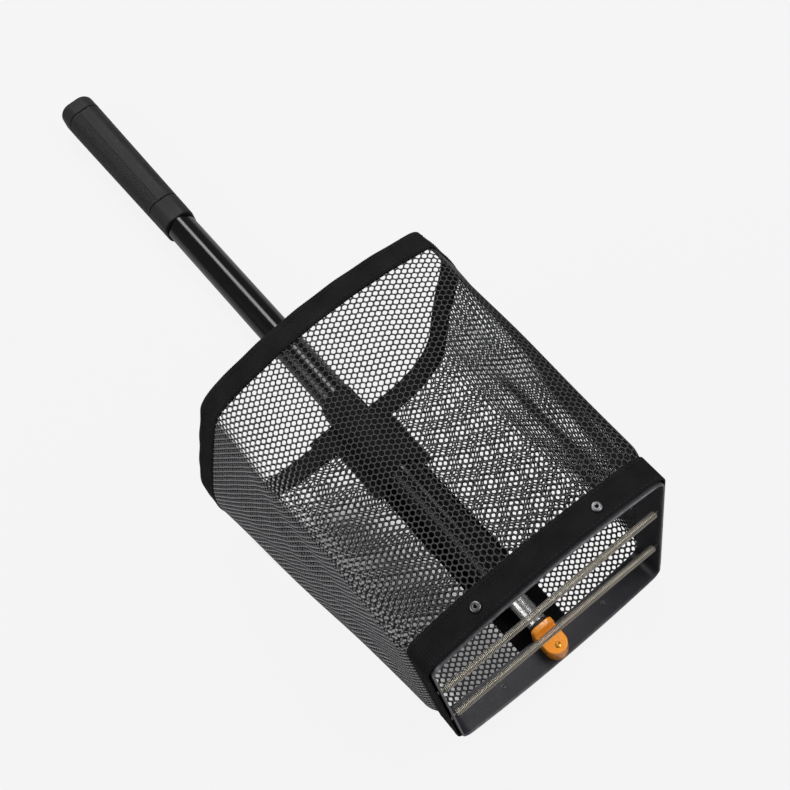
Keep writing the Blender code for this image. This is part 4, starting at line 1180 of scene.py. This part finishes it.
def make_sleeve():
    """The long knurled length of the grip."""
    low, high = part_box("grip_sleeve")
    share = np.linspace(0, 1, SLEEVE_STEPS, endpoint=False)[None, :]
    y = np.linspace(low.y, high.y, SLEEVE_ROWS)[:, None]
    from_end = np.minimum(y - low.y, high.y - y)
    edge = SLEEVE_ROUNDING
    rounding = np.where(from_end < edge, edge - np.sqrt(np.maximum(edge ** 2 - (edge - from_end) ** 2, 0)), 0)
    relief, shown = knurl(share, y, low.y, high.y)
    outside = grip_outline(share, rounding + (KNURL_DEPTH - relief) * shown, y)
    grip_piece("grip_sleeve", [outside, bore_rows(low, high, SLEEVE_STEPS)], 50)


def quarter_round(radius, end, inside):
    """Points of a rounded rim as (inset, y), in order of Y: the rest lies at +Y of the end, or at -Y."""
    angles = np.linspace(0, math.pi / 2, 8)
    points = [(radius * (1 - math.sin(a)), end + inside * radius * (1 - math.cos(a))) for a in angles]
    return points[::inside]


def grip_rows(profile):
    """Rows of the grip's outline, at each (inset, y) of a profile."""
    share = np.linspace(0, 1, GRIP_STEPS, endpoint=False)[None, :]
    inwards, y = (np.array(values)[:, None] for values in zip(*profile))
    return grip_outline(np.broadcast_to(share, (len(profile), GRIP_STEPS)), inwards, y)


def ring_rows(places, around):
    """Rows around the pole's axis, at each (radius, y)."""
    angle = 2 * math.pi * np.linspace(0, 1, around, endpoint=False)
    radius, y = (np.array(values)[:, None] for values in zip(*places))
    x = radius * np.sin(angle)
    return np.stack([x, np.broadcast_to(y, x.shape), POLE_Z + radius * np.cos(angle)], -1)


def bore_rows(low, high, around):
    return ring_rows([(GRIP_BORE, high.y), (GRIP_BORE, low.y)], around)


def grip_piece(name, rows, angle, closed=True):
    moulding(name + "_moulding", np.concatenate(rows), closed, look="rubber", body="handle", replaces=[name],
             angle=angle)


def make_ferrule():
    """The short smooth length at the grip's lower end."""
    low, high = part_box("grip_ferrule")
    profile = quarter_round(FERRULE_ROUNDING, low.y, 1) + quarter_round(GROOVE_ROUNDING, high.y, -1)
    grip_piece("grip_ferrule", [grip_rows(profile), bore_rows(low, high, GRIP_STEPS)], 40)


def make_cap():
    """End cap with a well rounded end and a socket for the tube."""
    low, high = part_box("grip_end_cap")
    profile = quarter_round(GROOVE_ROUNDING, low.y, 1) + quarter_round(CAP_ROUNDING, high.y, -1)
    outside = grip_rows(profile)
    middle = np.array([0, high.y, POLE_Z])
    face = np.array([middle + (outside[-1] - middle) * size for size in (0.75, 0.4, 0.02)])
    floor = low.y + SOCKET_DEPTH
    socket = ring_rows([(0.0002, floor), (GRIP_BORE, floor), (GRIP_BORE, low.y)], GRIP_STEPS)
    grip_piece("grip_end_cap", [socket, outside, face], 40, closed=False)


def make_grip():
    make_sleeve()
    make_ferrule()
    make_cap()


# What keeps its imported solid


CARRIED_OVER = {
    "foot_spacer": "spacer",
    "fitting_pin": "chrome",
    "inner_tube_lock": "nylon",
    "middle_tube_lock": "nylon",
    "middle_tube_bush": "nylon",
    "outer_tube_bush": "gloss",
    "outer_tube_plug": "nylon",
}


def dress_nodes():
    for name, look in CARRIED_OVER.items():
        finish_as(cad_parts[name], look)


# Stage, light and camera


FLOOR_COLOUR = 0.925
FLOOR_EVENNESS = 0.95
FLOOR_BOUNCE = 0.45
FLOOR_SHADE = 0.25
FLOOR_SHADE_SKEW = 0.17
FLOOR_SHADE_ACROSS = (-0.130, -0.112, -0.075, -0.040)
FLOOR_SHADE_ALONG = (-0.308, -0.290, -0.140, -0.100)
FLOOR_HALF = 8.0
FLOOR_Z = -0.0004
WORLD_STRENGTH = 0.20
CAMERA_PLACE = (-0.1227, -0.5091, 0.7981)
CAMERA_TARGET = (0.0209, -0.1286, 0.080)
CAMERA_ROLL_DEGREES = 19.59
FOCAL_LENGTH_PX = 1250
FRAME_PX = 790
SENSOR_MM = 36.0

# Name, size, power, place and target of each light
LIGHTS = (
    ("strip_softbox", (0.55, 1.7), 30, (0.50, 1.05, 1.45), (0.50, 1.05, 0)),
    ("key_softbox", (0.9, 0.9), 20, (0.9, -0.9, 1.5), (0, -0.05, 0.05)),
    ("fill_softbox", (1.2, 1.2), 18, (-1.3, 0.3, 1.2), (0, -0.05, 0.05)),
)


def make_stage():
    """Pale floor, evenly bright to the camera, with a soft shade under the left half of the bag."""
    mesh = bpy.data.meshes.new("studio_floor")
    corners = [(x * FLOOR_HALF, y * FLOOR_HALF, 0) for x, y in ((-1, -1), (1, -1), (1, 1), (-1, 1))]
    mesh.from_pydata(corners, [], [(0, 1, 2, 3)])
    floor = bpy.data.objects.new("studio_floor", mesh)
    floor.location = (0, 0, FLOOR_Z)
    bpy.context.scene.collection.objects.link(floor)
    look = Look("studio_floor", Roughness=1.0, Specular_IOR_Level=0.0,
                Base_Color=(FLOOR_BOUNCE, FLOOR_BOUNCE, FLOOR_BOUNCE, 1))
    x, y = look.along(0), look.along(1)
    across = look.maths("ADD", x, look.maths("MULTIPLY", y, FLOOR_SHADE_SKEW))
    shaded = 1.0
    for place, edges in ((across, FLOOR_SHADE_ACROSS), (y, FLOOR_SHADE_ALONG)):
        rising = look.between(place, edges[0], edges[1])
        falling = look.between(place, edges[2], edges[3], 1.0, 0.0)
        shaded = look.maths("MULTIPLY", look.maths("MULTIPLY", rising, falling), shaded)
    tone = look.between(shaded, 0.0, 1.0, FLOOR_COLOUR, FLOOR_SHADE)
    even = look.put(look.add("ShaderNodeEmission"), Color=tone)
    rays = look.add("ShaderNodeLightPath")
    mix = look.add("ShaderNodeMixShader")
    share = look.maths("MULTIPLY", rays.outputs["Is Camera Ray"], FLOOR_EVENNESS)
    for index, value in enumerate((share, look.shader.outputs[0], even.outputs[0])):
        look.join(value, mix.inputs[index])
    look.join(mix.outputs[0], look.tree.nodes["Material Output"].inputs["Surface"])
    mesh.materials.append(look.material)


def make_light(name, size, energy, place, target):
    data = bpy.data.lights.new(name, "AREA")
    data.shape = "RECTANGLE"
    data.size, data.size_y = size
    data.energy = energy
    light = bpy.data.objects.new(name, data)
    light.location = place
    light.rotation_euler = (Vector(target) - Vector(place)).to_track_quat("-Z", "Y").to_euler()
    bpy.context.scene.collection.objects.link(light)


def make_world():
    """Soft light from all round, which the camera sees as pale as the floor."""
    world = bpy.data.worlds.new("studio")
    bpy.context.scene.world = world
    world.use_nodes = True
    nodes, links = world.node_tree.nodes, world.node_tree.links
    nodes.clear()
    mix = nodes.new("ShaderNodeMixShader")
    links.new(nodes.new("ShaderNodeLightPath").outputs["Is Camera Ray"], mix.inputs[0])
    for index, (grey, strength) in enumerate(((1, WORLD_STRENGTH), (FLOOR_COLOUR, 1)), 1):
        light = nodes.new("ShaderNodeBackground")
        light.inputs["Color"].default_value = (grey, grey, grey, 1)
        light.inputs["Strength"].default_value = strength
        links.new(light.outputs[0], mix.inputs[index])
    links.new(mix.outputs[0], nodes.new("ShaderNodeOutputWorld").inputs["Surface"])


def make_camera():
    data = bpy.data.cameras.new("photo_view")
    data.sensor_width = SENSOR_MM
    data.lens = SENSOR_MM * FOCAL_LENGTH_PX / FRAME_PX
    data.clip_start = 0.01
    data.clip_end = 50
    camera = bpy.data.objects.new("photo_view", data)
    look = (Vector(CAMERA_TARGET) - Vector(CAMERA_PLACE)).to_track_quat("-Z", "Y").to_matrix().to_4x4()
    roll = Matrix.Rotation(-math.radians(CAMERA_ROLL_DEGREES), 4, "Z")
    camera.matrix_world = Matrix.Translation(CAMERA_PLACE) @ look @ roll
    bpy.context.scene.collection.objects.link(camera)
    bpy.context.scene.camera = camera


def main():
    make_strip()
    make_rivets()
    make_springs()
    make_net()
    make_stiffener()
    make_top_hem()
    make_bottom_hem()
    make_hem_stitches()
    make_seam_tape()
    make_pole_loop()
    make_fitting()
    make_screw()
    make_pole()
    make_grip()
    dress_nodes()
    make_stage()
    make_world()
    for light in LIGHTS:
        make_light(*light)
    make_camera()
    bpy.context.scene.view_settings.view_transform = "Standard"


main()
